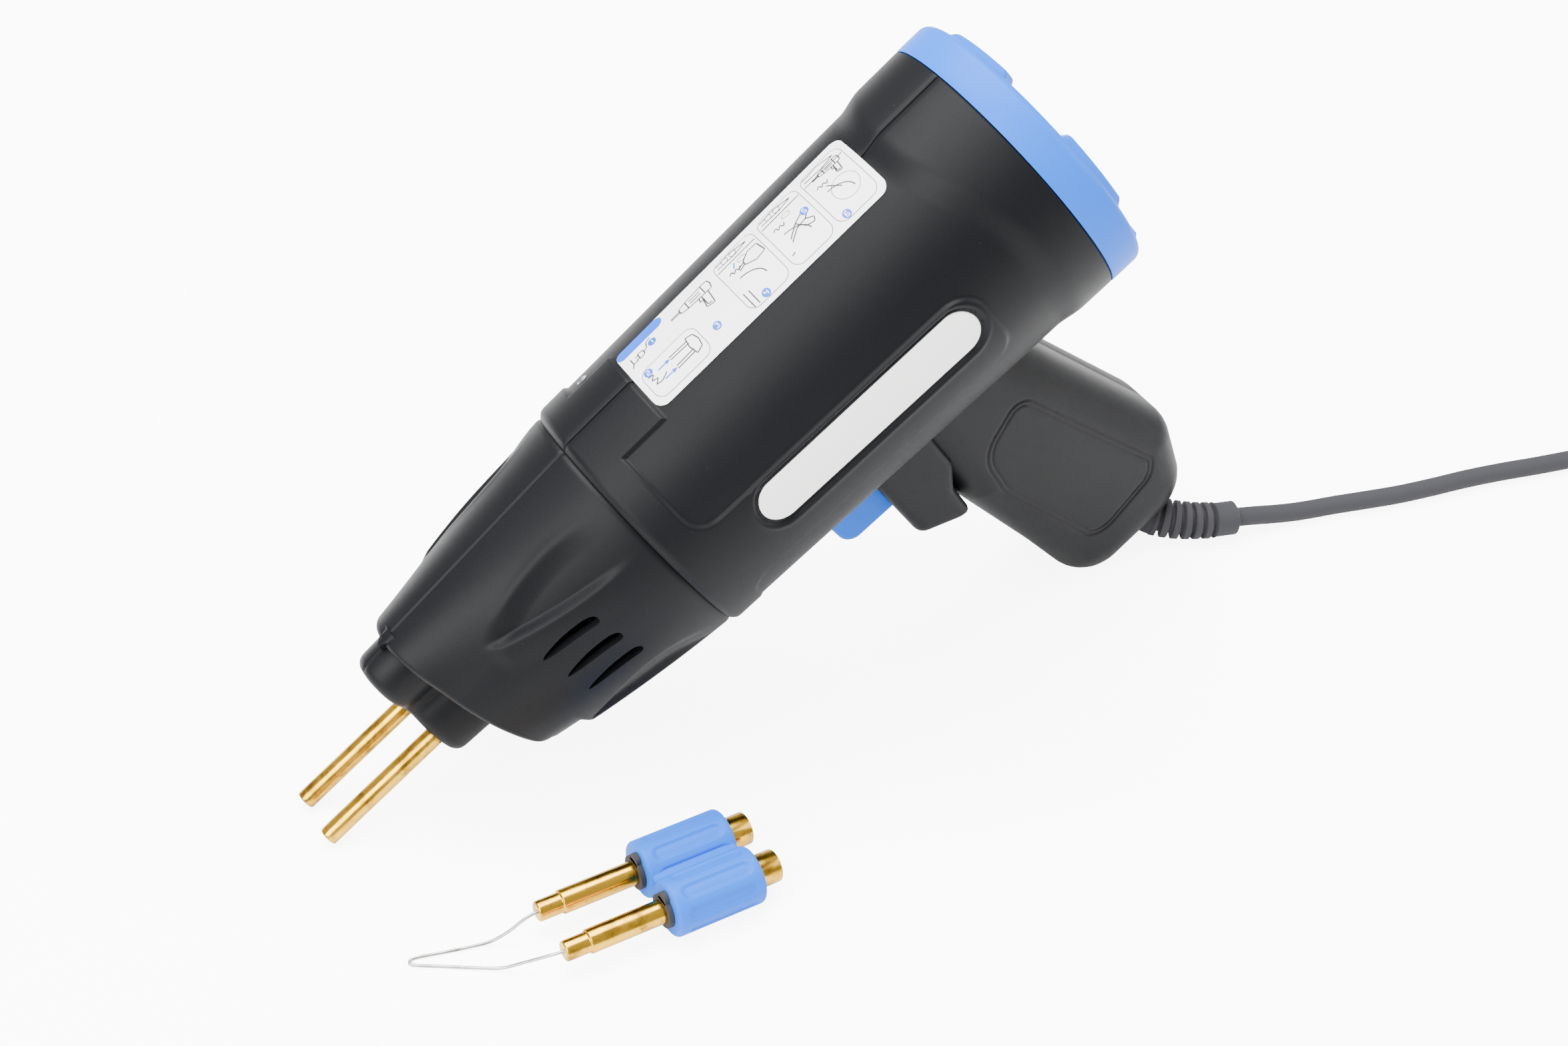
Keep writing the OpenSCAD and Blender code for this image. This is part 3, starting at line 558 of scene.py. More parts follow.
def surfaced(
    name: str, group: bpy.types.NodeTree, settings: dict[str, float], colours: tuple, mask: str,
    bump: float = 0.0
) -> tuple[bpy.types.Material, bpy.types.Node]:
    """Starts a material whose grain, roughness and second colour come from a node group.

    Args:
        name: the material's name.
        group: the surface node group.
        settings: the group's input values.
        colours: the main colour and the one that the mask brings in.
        mask: name of the group's mask output.
        bump: strength of the grain's relief; 0 leaves it out.

    Returns:
        The material and its Principled node.
    """
    mat = bpy.data.materials.new(name)
    mat.use_nodes = True
    tree = mat.node_tree
    shader = tree.nodes["Principled BSDF"]
    surface = tree.nodes.new("ShaderNodeGroup")
    surface.node_tree = group
    for key, value in settings.items():
        surface.inputs[key].default_value = value
    tint = tree.nodes.new("ShaderNodeMix")
    tint.data_type = "RGBA"
    tint.inputs[6].default_value = (*colours[0], 1.0)
    tint.inputs[7].default_value = (*colours[1], 1.0)
    tree.links.new(surface.outputs[mask], tint.inputs[0])
    tree.links.new(tint.outputs[2], shader.inputs["Base Color"])
    tree.links.new(surface.outputs["Roughness"], shader.inputs["Roughness"])
    if bump:
        relief = tree.nodes.new("ShaderNodeBump")
        relief.inputs["Strength"].default_value = bump
        relief.inputs["Distance"].default_value = GRAIN_DEPTH
        tree.links.new(surface.outputs["Height"], relief.inputs["Height"])
        tree.links.new(relief.outputs[0], shader.inputs["Normal"])
    return mat, shader


@dataclass(frozen=True)
class Moulding:
    """A moulded plastic or rubber finish: colour, dust colour, grain size and gloss."""

    name: str
    colour: tuple[float, float, float]
    grain: float = 3000.0
    bump: float = 0.12
    dull: float = 0.5
    shiny: float = 0.4
    dust: float = 0.0
    second: tuple[float, float, float] = (0.3, 0.31, 0.32)
    specular: float = 0.5

    def make(self) -> bpy.types.Material:
        """Builds the material once and returns it."""
        if self.name in bpy.data.materials:
            return bpy.data.materials[self.name]
        settings = {"Grain": self.grain, "Dull": self.dull, "Shiny": self.shiny, "Dust": self.dust}
        colours = (self.colour, self.second)
        mat, shader = surfaced(self.name, moulded_surface(), settings, colours, "Dust", self.bump)
        shader.inputs["Specular IOR Level"].default_value = self.specular
        return mat


@dataclass(frozen=True)
class Metal:
    """A drawn or machined metal finish: bright colour, a second colour in cloudy patches (stain; on the brass a
    painted reflection) and gloss.
    """

    name: str
    colour: tuple[float, float, float]
    stain_and_reflection_colour: tuple[float, float, float]
    stain: float = 0.5
    lines: float = 900.0
    dull: float = 0.35
    shiny: float = 0.18
    bump: float = 0.08

    def make(self) -> bpy.types.Material:
        """Builds the material once and returns it."""
        if self.name in bpy.data.materials:
            return bpy.data.materials[self.name]
        settings = {"Lines": self.lines, "Dull": self.dull, "Shiny": self.shiny, "Stain": self.stain}
        colours = (self.colour, self.stain_and_reflection_colour)
        mat, shader = surfaced(self.name, metal_surface(), settings, colours, "Stain", self.bump)
        shader.inputs["Metallic"].default_value = 1.0
        return mat


@dataclass(frozen=True)
class Lens:
    """A clear moulded lens with a smoky patch or two."""

    name: str = "clear_lens"
    colour: tuple[float, float, float] = (0.92, 0.95, 0.97)
    smoke: tuple[float, float, float] = (0.6, 0.58, 0.55)

    def make(self) -> bpy.types.Material:
        """Builds the material once and returns it."""
        if self.name in bpy.data.materials:
            return bpy.data.materials[self.name]
        settings = {"Grain": 900.0, "Dull": 0.16, "Shiny": 0.05, "Dust": 0.3}
        mat, shader = surfaced(self.name, moulded_surface(), settings, (self.colour, self.smoke), "Dust")
        shader.inputs["Transmission Weight"].default_value = 1.0
        return mat


HOUSING = Moulding("housing_black", (0.0030, 0.0033, 0.0042), 3200.0, 0.28, 0.52, 0.42, 0.40,
                   (0.14, 0.14, 0.14), 0.13)
BLUE = Moulding("moulded_blue", (0.0, 0.120, 0.66), 3600.0, 0.10, 0.48, 0.38, 0.0, (0.3, 0.31, 0.32), 0.14)
PLATE = Moulding("plate_white", (0.93, 0.93, 0.91), 2600.0, 0.14, 0.5, 0.4, 0.05, (0.4, 0.4, 0.4))
FILM = Moulding("label_film", (0.96, 0.96, 0.97), 1200.0, 0.02, 0.34, 0.26, 0.0)
INK = Moulding("label_ink", (0.02, 0.021, 0.024), 1200.0, 0.0, 0.5, 0.4, 0.0)
BLUE_INK = Moulding("label_blue", (0.0, 0.09, 0.62), 1200.0, 0.0, 0.4, 0.32, 0.0)
RUBBER = Moulding("cord_rubber", (0.0016, 0.0017, 0.0021), 2400.0, 0.16, 0.46, 0.34, 0.2,
                  (0.10, 0.10, 0.10), 0.09)
NYLON = Moulding("natural_nylon", (0.62, 0.59, 0.5), 1800.0, 0.08, 0.55, 0.45, 0.1, (0.4, 0.38, 0.33))
CERAMIC = Moulding("heat_proof_moulding", (0.66, 0.62, 0.53), 900.0, 0.2, 0.8, 0.65, 0.2, (0.35, 0.32, 0.27))
BOARD = Moulding("circuit_board", (0.02, 0.13, 0.05), 500.0, 0.05, 0.4, 0.3, 0.2, (0.5, 0.35, 0.1))
ENAMEL = Moulding("enamelled_wire", (0.24, 0.06, 0.02), 700.0, 0.6, 0.35, 0.2, 0.0)
LEAD = Moulding("lead_insulation", (0.12, 0.03, 0.02), 1500.0, 0.05, 0.5, 0.4, 0.0)
# Painted reflection: the brass's dark brown second colour, at 0.7, stands in for the dark surroundings mirrored
# in the rods.
BRASS = Metal("rod_brass", (0.70, 0.40, 0.030), (0.13, 0.05, 0.008), 0.7, 700.0, 0.30, 0.15, 0.10)
COPPER = Metal("bar_copper", (0.72, 0.33, 0.17), (0.3, 0.12, 0.06), 0.5)
STEEL = Metal("plain_steel", (0.56, 0.57, 0.58), (0.25, 0.24, 0.22), 0.3)
WIRE = Metal("wire_steel", (0.50, 0.49, 0.47), (0.10, 0.08, 0.06), 0.5, 900.0, 0.4, 0.25)
IRON = Metal("core_iron", (0.13, 0.13, 0.14), (0.08, 0.05, 0.03), 0.6, 2600.0, 0.6, 0.45, 0.5)


def dress(obj: bpy.types.Object, finish: object) -> None:
    """Gives an object one material in all its slots."""
    mat = finish.make()
    if not obj.data.materials:
        obj.data.materials.append(mat)
    for k in range(len(obj.data.materials)):
        obj.data.materials[k] = mat


def place(obj: bpy.types.Object, body: str, slot: str, *nodes: str) -> None:
    """Lets a piece ride on a body and hides the CAD nodes it stands for."""
    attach(obj, body)
    if nodes:
        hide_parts(*nodes)
    LOG.info("%s rides on %s", obj.name, body)


# ---- barrel ------------------------------------------------------------------------------------


@dataclass
class Barrel:
    """Both halves of the barrel: collar, top tab, shallow side recess, plate pocket and rear bell."""

    recess: float = 1.0
    collar_end: float = 141.6
    corner: float = 8.0
    blend: float = 9.0
    wall: float = 1.6
    tab_angle: float = 22.0
    tab_u: float = 157.6
    band_low: float = 67.0
    band_high: float = 104.0
    band_u: float = 245.0
    plate_u0: float = 159.6
    plate_u1: float = 242.0
    plate_angle: float = 78.5
    plate_half: float = 7.3
    arc_mm: float = 0.75

    def full_radius(self, u: np.ndarray) -> np.ndarray:
        """Radius where nothing is recessed: a rounded collar edge, then a slow straight taper."""
        knots = [131, 131.6, 132.4, 133.4, 141, 158, 250, 281]
        return np.interp(u, knots, [40.9, 41.5, 42.1, 42.35, 42.5, 42.9, 45.1, 45.6])

    def raised(self, u: np.ndarray, deg: np.ndarray) -> np.ndarray:
        """Signed distance to the parts that stand proud: collar, tab and plate band.

        The three are boxes on the unrolled skin, joined with a rounded inner corner.

        Args:
            u: distance behind the rod tips.
            deg: angle from the top towards the side.

        Returns:
            Distance in millimetres, negative inside.
        """
        a = deg * self.arc_mm
        collar = u - self.collar_end
        tab = np.maximum(u - self.tab_u, a - self.tab_angle * self.arc_mm)
        mid = (self.band_low + self.band_high) / 2 * self.arc_mm
        half = (self.band_high - self.band_low) / 2 * self.arc_mm
        qa = np.abs(a - mid) - (half - self.corner)
        qu = u - (self.band_u - self.corner)
        band = np.hypot(np.maximum(qa, 0), np.maximum(qu, 0)) + np.minimum(np.maximum(qa, qu), 0) - self.corner
        h = np.clip(0.5 + 0.5 * (band - collar) / self.blend, 0, 1)
        joined = band * (1 - h) + collar * h - self.blend * h * (1 - h)
        return np.minimum(joined, tab)

    def plate_distance(self, u: np.ndarray, deg: np.ndarray, r: np.ndarray) -> np.ndarray:
        """Signed distance on the skin to the edge of the stadium plate."""
        across = (deg - self.plate_angle) * math.pi / 180 * r
        mid, half = (self.plate_u0 + self.plate_u1) / 2, (self.plate_u1 - self.plate_u0) / 2 - self.plate_half
        return np.hypot(np.maximum(np.abs(u - mid) - half, 0), across) - self.plate_half

    def radius(self, u: np.ndarray, deg: np.ndarray) -> np.ndarray:
        """Outer radius of the moulding.

        The straight taper, less the shallow recess with its bevelled walls, plus the bell behind a
        soft step that lies farther back on the sides, less the groove round the plate.

        Args:
            u: distance behind the rod tips.
            deg: angle from the top towards the side, 0 to 180.

        Returns:
            Radius in millimetres.
        """
        full = self.full_radius(u)
        step_u = 254.0 + 11.0 * ease(deg, 8.0, 70.0)
        rise = ease(u - step_u, -5.0, 4.5)
        low = full - self.recess * ease(self.raised(u, deg), 0.0, 1.5) * (1 - 0.5 * ease(deg, 100, 130))
        bell_r = 45.9 + 0.3 * (u - 262.0) / 19.0
        r = low * (1 - rise) + bell_r * rise
        edge = self.plate_distance(u, deg, r)
        r = r - 0.9 * bell(edge, 0.75, 0.55) - 0.9 * ease(-edge, -0.6, 0.2)
        r = r + 0.25 * bell(edge, 2.3, 0.7)
        return r - 0.48 * ease(u, 280.3, 281.0)

    def half(self, side: Side) -> bpy.types.Object:
        """Builds one half's skin with its wall and the fine step at the parting plane."""
        u = lines((131, 134.5, 0.35), (134.5, 140, 1.1), (140, 146, 0.4), (146, 155, 1.5), (155, 163, 0.45),
                  (163, 236, 2.4), (236, 248, 0.55), (248, 272, 0.9), (272, 280, 1.3), (280, 281, 0.35))
        deg = lines((0, 1, 0.5), (1, 19, 2.2), (19, 25, 0.45), (25, 60, 1.7), (60, 92, 0.42), (92, 100, 1.1),
                    (100, 108, 0.8), (108, 179, 2.2), (179, 180, 0.5))
        uu, dd = np.meshgrid(u, deg, indexing="ij")
        r = self.radius(uu, dd)
        r = r - 0.45 * (1 - ease(np.minimum(dd, 180 - dd), 0.0, 1.0))
        y = side.value * r * np.sin(np.radians(dd))
        points = from_gun(uu, y, r * np.cos(np.radians(dd)))
        front = [arc_row(side, at, rr, deg) for at, rr in ((137.5, 38.4), (131.0, 38.6))]
        lip = [arc_row(side, at, rr, deg) for at, rr in ((281.0, 42.4), (276.5, 42.2))]
        points = np.concatenate([front, points, lip])
        obj = build(f"barrel_{side.name.lower()}", [Sheet(points, about=from_gun(200.0, 0.0, 0.0))])
        shell(obj, self.wall)
        dress(obj, HOUSING)
        return obj

    def plate(self, side: Side) -> bpy.types.Object:
        """Builds the stadium plate: rings that shrink from its edge, bent round the barrel."""
        mid = (self.plate_u0 + self.plate_u1) / 2
        half = (self.plate_u1 - self.plate_u0) / 2 - self.plate_half
        t = np.linspace(0, 2 * math.pi, 120, endpoint=False)
        shift = half * np.sign(np.cos(t)) * ease(np.abs(np.cos(t)), 0.0, 0.02)
        rings = [(0.15, -1.2), (0.15, -0.35), (0.3, -0.12), (0.55, 0.0), (1.1, 0.02), (3.0, 0.02),
                 (5.2, 0.02), (7.0, 0.02)]
        rows = []
        for inset, lift in rings:
            q = self.plate_half - inset
            u = mid + shift + q * np.cos(t)
            a = np.radians(self.plate_angle) + q * np.sin(t) / 43.4
            r = self.full_radius(u) - 0.42 + lift
            rows.append(from_gun(u, side.value * r * np.sin(a), r * np.cos(a)))
        obj = build(f"side_plate_{side.name.lower()}", [Sheet(np.array(rows), wrap=True, caps=(True, True))])
        dress(obj, PLATE)
        return obj

    def make(self) -> None:
        """Builds both halves and both plates and puts them on the gun."""
        for side, node in ((Side.LEFT, "left"), (Side.RIGHT, "right")):
            place(self.half(side), "gun", "housing", f"housing_{node}")
            place(self.plate(side), "gun", "label_white", f"plate_{node}")


# ---- label -------------------------------------------------------------------------------------


@dataclass
class Label:
    """White film on top of the barrel with wordless pictograms, numbered dots and a blue tab.

    Places on it are (u, s): s is the distance across from the middle, positive to the right side.
    """

    barrel: Barrel
    u0: float = 159.2
    u1: float = 249.3
    half: float = 14.5
    ink: float = 0.38
    frame_ink: float = 0.2
    film_lift: float = 0.22
    print_lift: float = 0.25
    mark_lift: float = 0.26
    figure_lift: float = 0.29
    dot_r: float = 1.45

    def on_skin(self, at: np.ndarray, lift: float) -> np.ndarray:
        """Bends flat (u, s) places round the barrel at a height over its recessed skin."""
        r = self.barrel.full_radius(at[..., 0]) - self.barrel.recess + lift
        a = at[..., 1] / 43.0
        return from_gun(at[..., 0], r * np.sin(a), r * np.cos(a))

    def patch(self, outline: np.ndarray, lift: float) -> Sheet:
        """Filled shape: rings that shrink from a closed outline to its middle."""
        middle = outline.mean(0)
        share = np.array([1.0, 0.8, 0.55, 0.3, 0.02])[:, None, None]
        rows = self.on_skin(middle + share * (outline - middle)[None], lift)
        return Sheet(rows, wrap=True, caps=(False, True), about=from_gun(204.0, 0.0, 0.0))

    def stroke(self, line: np.ndarray, lift: float, width: float, closed: bool = False) -> Sheet:
        """Flat line of ink: the path moved half a width to each side of its direction."""
        line = resample(np.asarray(line, float), 0.45, closed)
        ahead = np.roll(line, -1, 0) - np.roll(line, 1, 0) if closed else np.gradient(line, axis=0)
        ahead /= np.maximum(np.linalg.norm(ahead, axis=1, keepdims=True), 1e-9)
        aside = np.stack([-ahead[:, 1], ahead[:, 0]], -1) * width / 2
        rows = self.on_skin(np.array([line - aside, line + aside]), lift)
        return Sheet(rows, wrap=closed, about=from_gun(204.0, 0.0, 0.0))

    def box(self, u0: float, u1: float, s0: float, s1: float, r: float) -> np.ndarray:
        """Rounded rectangle as a closed outline."""
        return soft_corner_path([(u0, s0), (u1, s0), (u1, s1), (u0, s1)], [r] * 4, 0.5)

    def circle(self, u: float, s: float, r: float, squash: float = 1.0) -> np.ndarray:
        """Circle or ellipse as a closed outline."""
        t = np.linspace(0, 2 * math.pi, 40, endpoint=False)
        return np.stack([u + r * np.cos(t), s + squash * r * np.sin(t)], -1)

    def tool(self, u: float, s: float, k: float) -> list[np.ndarray]:
        """Small line drawing of a pistol-shaped tool, scaled by k."""
        shapes = [
            [(-2, -1.6), (4, -2), (4, 2), (-2, 1.6), (-2, -1.6)], [(-2, -1.6), (-4.6, -1), (-4.6, 1),
                                                                   (-2, 1.6)],
            [(-4.6, 0.2), (-8, 0.2)], [(-4.6, -0.3), (-8, -0.3)], [(4, -2), (6.4, -1.9), (6.8, 0),
                                                                   (6.4, 1.9), (4, 2)],
            [(2.6, -2), (1.8, -6.6), (4.4, -7.2), (5, -2)], [(1.6, -2), (1.2, -3.4), (2.3, -3.6)],
            [(-1, -0.5), (3, -0.6)],
            [(-1, 0.5), (3, 0.6)], [(2.6, -2.9), (2.5, -6), (4, -6.3)],
        ]
        return [np.array(shape, float) * k + (u, s) for shape in shapes]

    def drawings(self) -> list[np.ndarray]:
        """Every open grey line of the pictograms."""
        out = [np.array(p, float) for p in (
            [(162.4, 7.4), (162.4, 4.6), (164.4, 4.6)], [(162.4, 4.6), (161.4, 3.2)],
            [(165, 7), (165, 4.4), (167, 4.8), (167, 6.6), (165, 7)],
            [(163.8, 6.3), (165, 6.3)], [(163.8, 5.1), (165, 5.1)], [(167, 5.7), (168.4, 6.2), (169, 8.2),
                                                                     (170.8, 8.8)],
            [(162.6, -3.6), (164.6, -4), (163, -5.4), (165, -6), (163.4, -7.4), (165.4, -7.8), (168, -6.6)],
            [(171, -3.6), (178, -3.8)], [(171, -4.6), (178, -4.8)], [(171, -7.6), (178, -7.4)],
            [(171, -8.6), (178, -8.4)],
            [(178, -2.6), (180.4, -3.4), (181, -6), (180.4, -8.6), (178, -9.4), (177.4, -6), (178, -2.6)],
        )]
        out += self.tool(187.0, 7.0, 1.05)
        for u in (197.0, 214.6, 231.8):
            out.append(np.array([(u + 1.2, 10.2), (u + 7, 10.8), (u + 12.8, 9.2), (u + 8, 8.2),
                                 (u + 1.2, 8.6)], float))
            out.append(np.array([(u + 0.4, 6.8), (u + 15, 6.9)], float))
            out.append(np.array([(u + 2.4, 2.4), (u + 3.4, 3.2), (u + 4, 1.8), (u + 5, 3), (u + 5.8, 1.6),
                                 (u + 6.6, 2.8)], float))
            t = np.linspace(0, math.pi / 2, 12)
            out.append(np.stack([u + 4 + 7 * np.sin(t), -6 + 5 * np.cos(t)], -1))
        out += [np.array(p, float) for p in (
            [(198.6, -6), (198.6, -12)], [(200.4, -6.4), (200.4, -12)], [(205, 3), (208, 5), (211.4, 4.8),
                                                                         (212, 0.4), (208.4, -0.2),
                                                                         (205, 1.4), (205, 3)],
            [(205, 2.6), (202.4, 2)], [(205, 1.8), (202.6, 1)], [(219, -4), (223, -1), (226.4, 0.6),
                                                                 (228, -0.6), (226, -2.2), (222.6, -2.6),
                                                                 (218.8, -5.2)],
            [(223, -1), (225, -4.4), (227.6, -5.2), (228.4, -3.8), (226, -2.2)],
            [(216, -8.5), (217.4, -8.2)], [(236.8, 1), (240, -3)],
        )]
        out += self.tool(240.6, 6.6, 0.7)
        return out

    def digit(self, n: int, u: float, s: float) -> list[np.ndarray]:
        """Strokes of a small figure from 1 to 6, built on the seven-bar pattern."""
        a, b, c, d, e, f = (0.5, 0.8), (0.5, 0.0), (0.5, -0.8), (-0.5, -0.8), (-0.5, 0.0), (-0.5, 0.8)
        paths = {1: [(-0.1, 0.5), (0.2, 0.8), (0.2, -0.8)], 2: [f, a, b, e, d, c],
                 3: [f, a, b, (-0.2, 0.0), b, c, d], 4: [f, e, b, a, c], 5: [a, f, e, b, c, d],
                 6: [a, f, d, c, b, e]}
        return [np.array(paths[n], float) + (u, s)]

    def make(self) -> None:
        """Builds the film and its print and puts them on the gun."""
        outline = self.box(self.u0, self.u1, -self.half, self.half, 3.6)
        film = build("label_film", [self.patch(outline, self.film_lift)])
        dress(film, FILM)
        place(film, "gun", "label_white", "instruction_label")
        panels = [(161.2, 182.0, -12.4, -0.4, 3.2)]
        panels += [(u0, u1, -12.6, 11.4, 3.2) for u0, u1 in ((197.0, 212.6), (214.5, 230.0), (231.8, 247.2))]
        lines_ = [self.stroke(self.box(*panel), self.print_lift, self.frame_ink, True) for panel in panels]
        knobs = [self.circle(u + 4.4 + 3.2 * k, 9.5, 1.15) for u in (197.0, 214.6) for k in (0, 1)]
        knobs += [self.circle(u + 8.4, 4.6, 1.5, 0.6) for u in (197.0, 214.6)]
        lines_ += [self.stroke(knob, self.print_lift, self.frame_ink, True) for knob in knobs]
        lines_.append(self.stroke(self.circle(240.8, -3.8, 4.6, 0.95), self.print_lift, 0.18, True))
        lines_ += [self.stroke(line, self.print_lift, self.ink) for line in self.drawings()]
        ink = build("label_print_grey", lines_)
        dress(ink, INK)
        place(ink, "gun", "label_white")
        dots = [(170.6, 6.4), (163.8, -2.2), (187.2, -7.4), (203.6, -11.0), (227.4, 0.2), (235.2, -11.0)]
        tab = self.box(self.u0 + 0.05, 177.0, 9.7, self.half - 0.05, 2.4)
        blue = [self.patch(tab, self.print_lift)]
        blue += [self.patch(self.circle(u, s, self.dot_r), self.mark_lift) for u, s in dots]
        for s in (-4.1, -8.1):
            head = np.array([(169.4, s - 0.8), (169.4, s + 0.8), (171.0, s + 0.02), (171.0, s - 0.02)])
            blue.append(self.stroke(np.array([(166.4, s), (169.6, s)]), self.mark_lift, 0.45))
            blue.append(self.patch(head, self.mark_lift))
        blue.append(self.stroke(np.array([(203.0, 5.4), (201.8, 3.6)]), self.mark_lift, 0.45))
        solid = build("label_print_blue", blue)
        dress(solid, BLUE_INK)
        place(solid, "gun", "label_white")
        strokes = [line for n, (u, s) in enumerate(dots, 1) for line in self.digit(n, u, s)]
        white = [self.stroke(line, self.figure_lift, 0.3) for line in strokes]
        figures = build("label_print_figures", white)
        dress(figures, FILM)
        place(figures, "gun", "label_white")


# ---- nose --------------------------------------------------------------------------------------


@dataclass
class Nose:
    """Both halves of the nose cone with swept recesses, cooling slots and a keyhole front."""

    rim_top_u: float = 56.0
    lean: float = 0.24
    seam_u: float = 131.0
    lobe_r: float = 14.8
    lamp_r: float = 10.8
    lamp_v: float = 23.3
    keyhole_v: float = 12.0
    wall: float = 2.2
    snout_wall: float = 1.8
    rim_round: float = 1.8
    gills: tuple[tuple[float, float], ...] = ((85.8, 17.0), (87.2, 8.6), (88.4, -0.2))

    def base_radius(self, u: np.ndarray) -> np.ndarray:
        """Plain cone: 41 at the seam, falling with the distance and its square."""
        d = self.seam_u - u
        return 41.0 - 0.075 * d - 0.00094 * d * d

    def crown(self, u: np.ndarray, deg: np.ndarray) -> np.ndarray:
        """Height of the spine over the plain cone: the top falls on a straight line instead."""
        d = self.seam_u - u
        return (0.0075 * d + 0.00094 * d * d) * (1 - ease(deg, 4.0, 46.0))

    def swoosh(self, u: np.ndarray, deg: np.ndarray, r: np.ndarray) -> np.ndarray:
        """Depth of the swept teardrop beside the top, with the ridge along its lower crease.

        Both edges start at one point near the front. The lower one bows out to the side, the upper
        one swings up and back. Depth rises quickly at the lower edge and slowly at the upper one.

        Args:
            u: distance behind the rod tips.
            deg: angle from the top towards the side.
            r: plain radius, which turns angles into distances on the skin.

        Returns:
            Depth in millimetres, negative where the ridge stands proud.
        """
        s = np.clip((u - 74.0) / 57.0, 0, 1)
        low = 39.5 + 15.5 * (1 - (1 - s) ** 2.2)
        up = 38.5 - 39.0 * s + 33.0 * s * s
        below, above = (low - deg) * r * math.pi / 180, (deg - up) * r * math.pi / 180
        bowl = 1.7 * ease(below, -0.6, 2.6) * ease(above, -1.5, 7.5) * ease(u, 74, 84) * (1 - ease(u, 106, 128))
        ridge = 0.9 * ease(-below, -2.4, 1.2) * (1 - ease(-below, 1.0, 10.0))
        ridge = ridge * ease(u, 74.5, 80) * (1 - ease(u, 92, 126))
        crest = 0.35 * bell(above, 0.5, 2.0) * ease(s, 0.1, 0.3) * (1 - ease(s, 0.55, 0.95))
        return bowl - ridge - crest

    def scoop(self, u: np.ndarray, deg: np.ndarray, r: np.ndarray) -> np.ndarray:
        """Depth of the hollow under the slots and of the slimmer chin in front of it."""
        s = np.clip((u - 80.0) / 50.0, 0, 1)
        high = 119.0 - 62.0 * s + 56.0 * s * s
        inner, outer = (deg - high) * r * math.pi / 180, (128.5 - deg) * r * math.pi / 180
        hollow = 2.3 * ease(inner, -0.5, 6.0) * ease(outer, -0.4, 2.4)
        hollow = hollow * ease(u, 79.6, 83.0) * (1 - ease(u, 108, 128))
        chin = 2.1 * ease(deg, 100, 123) * (1 - ease(u, 77.4, 80.6))
        return hollow + chin

    def radius(self, u: np.ndarray, deg: np.ndarray) -> np.ndarray:
        """Outer radius of the nose: the cone with its spine, its recesses and the groove at the seam."""
        r = self.base_radius(u) + self.crown(u, deg)
        r = r - self.swoosh(u, deg, r) - self.scoop(u, deg, r)
        return r - 0.8 * bell(u, 131.2, 1.0)

    def rim_u(self, v: np.ndarray) -> np.ndarray:
        """Distance of the leaning rim at a height."""
        return self.rim_top_u + self.lean * (33.0 - v)

    def keyhole(self, deg: np.ndarray, centre_v: float, grow: float) -> np.ndarray:
        """Distance from (0, centre_v) to the keyhole outline in each direction.

        The outline is the union of two circles and a neck; each ray's farthest crossing counts.
        """
        phi = np.radians(deg)
        s, c = np.sin(phi), np.cos(phi)

        def circle(at: float, r: float) -> np.ndarray:
            """Far crossing of each ray with a circle centred at height at, or 0."""
            b = c * (at - centre_v)
            inner = b * b - ((at - centre_v) ** 2 - r * r)
            return np.where(inner > 0, b + np.sqrt(np.maximum(inner, 0)), 0.0)

        neck_w = 8.3 + grow
        top = np.where(s > 1e-6, neck_w / np.maximum(s, 1e-6), 1e9)
        reach = np.where(c > 0, (self.lamp_v - centre_v) / np.maximum(c, 1e-6), centre_v / np.maximum(-c, 1e-6))
        neck = np.where(top < reach, top, 0.0)
        parts = np.stack([circle(0.0, self.lobe_r + grow), circle(self.lamp_v, self.lamp_r + grow), neck])
        return parts.max(0)

    def half(self, side: Side) -> bpy.types.Object:
        """Builds one half: outer skin, rounded rim, front wall up to the keyhole, then the slots."""
        deg = lines((0, 1, 0.5), (1, 12, 1.2), (12, 66, 0.5), (66, 100, 1.3), (100, 160, 0.8),
                    (160, 179, 2.2), (179, 180, 0.5))
        frac = lines((0, 0.05, 0.008), (0.05, 0.95, 0.0078), (0.95, 1.0, 0.006))
        ff, dd = np.meshgrid(frac, deg, indexing="ij")
        ang = np.radians(dd)
        at = np.full_like(dd, 60.0)
        rim = self.rim_u((self.base_radius(at) + self.crown(at, dd)) * np.cos(ang)) + 1.4
        uu = self.seam_u + (rim - self.seam_u) * ff
        r = self.radius(uu, dd)
        r = r - 0.45 * (1 - ease(np.minimum(dd, 180 - dd), 0.0, 1.1))
        outer = from_gun(uu, side.value * r * np.sin(ang), r * np.cos(ang))
        rows = [arc_row(side, at, rr, deg) for at, rr in ((136.0, 38.0), (131.0, 38.2))]
        r_end, u_end, q = r[-1], uu[-1], self.rim_round
        theta = np.linspace(0, math.pi / 2, 7)[1:]
        edge = [arc_row(side, u_end - q * math.sin(t), r_end - q * (1 - math.cos(t)), deg) for t in theta]
        y0, v0 = (r_end - q) * np.sin(ang[0]), (r_end - q) * np.cos(ang[0])
        centre_v = self.keyhole_v
        away = np.degrees(np.arctan2(y0, v0 - centre_v))
        hole = self.keyhole(away, centre_v, 0.15)
        y1, v1 = hole * np.sin(np.radians(away)), centre_v + hole * np.cos(np.radians(away))
        wall_rows = []
        for t in (0.3, 0.65, 1.0):
            y, v = y0 + (y1 - y0) * t, v0 + (v1 - v0) * t
            wall_rows.append(from_gun(self.rim_u(v) - 0.4, side.value * y, v))
        wall_rows.append(from_gun(self.rim_u(v1) + 3.0, side.value * y1, v1))
        points = np.concatenate([np.array(rows), outer, np.array(edge), np.array(wall_rows)])
        obj = build(f"nose_{side.name.lower()}_shell", [Sheet(points, about=from_gun(100.0, 0.0, 0.0))])
        shell(obj, self.wall)
        apply_modifiers(obj)
        cut_with(obj, [self.gill(side, u, v) for u, v in self.gills])
        dress(obj, HOUSING)
        return obj

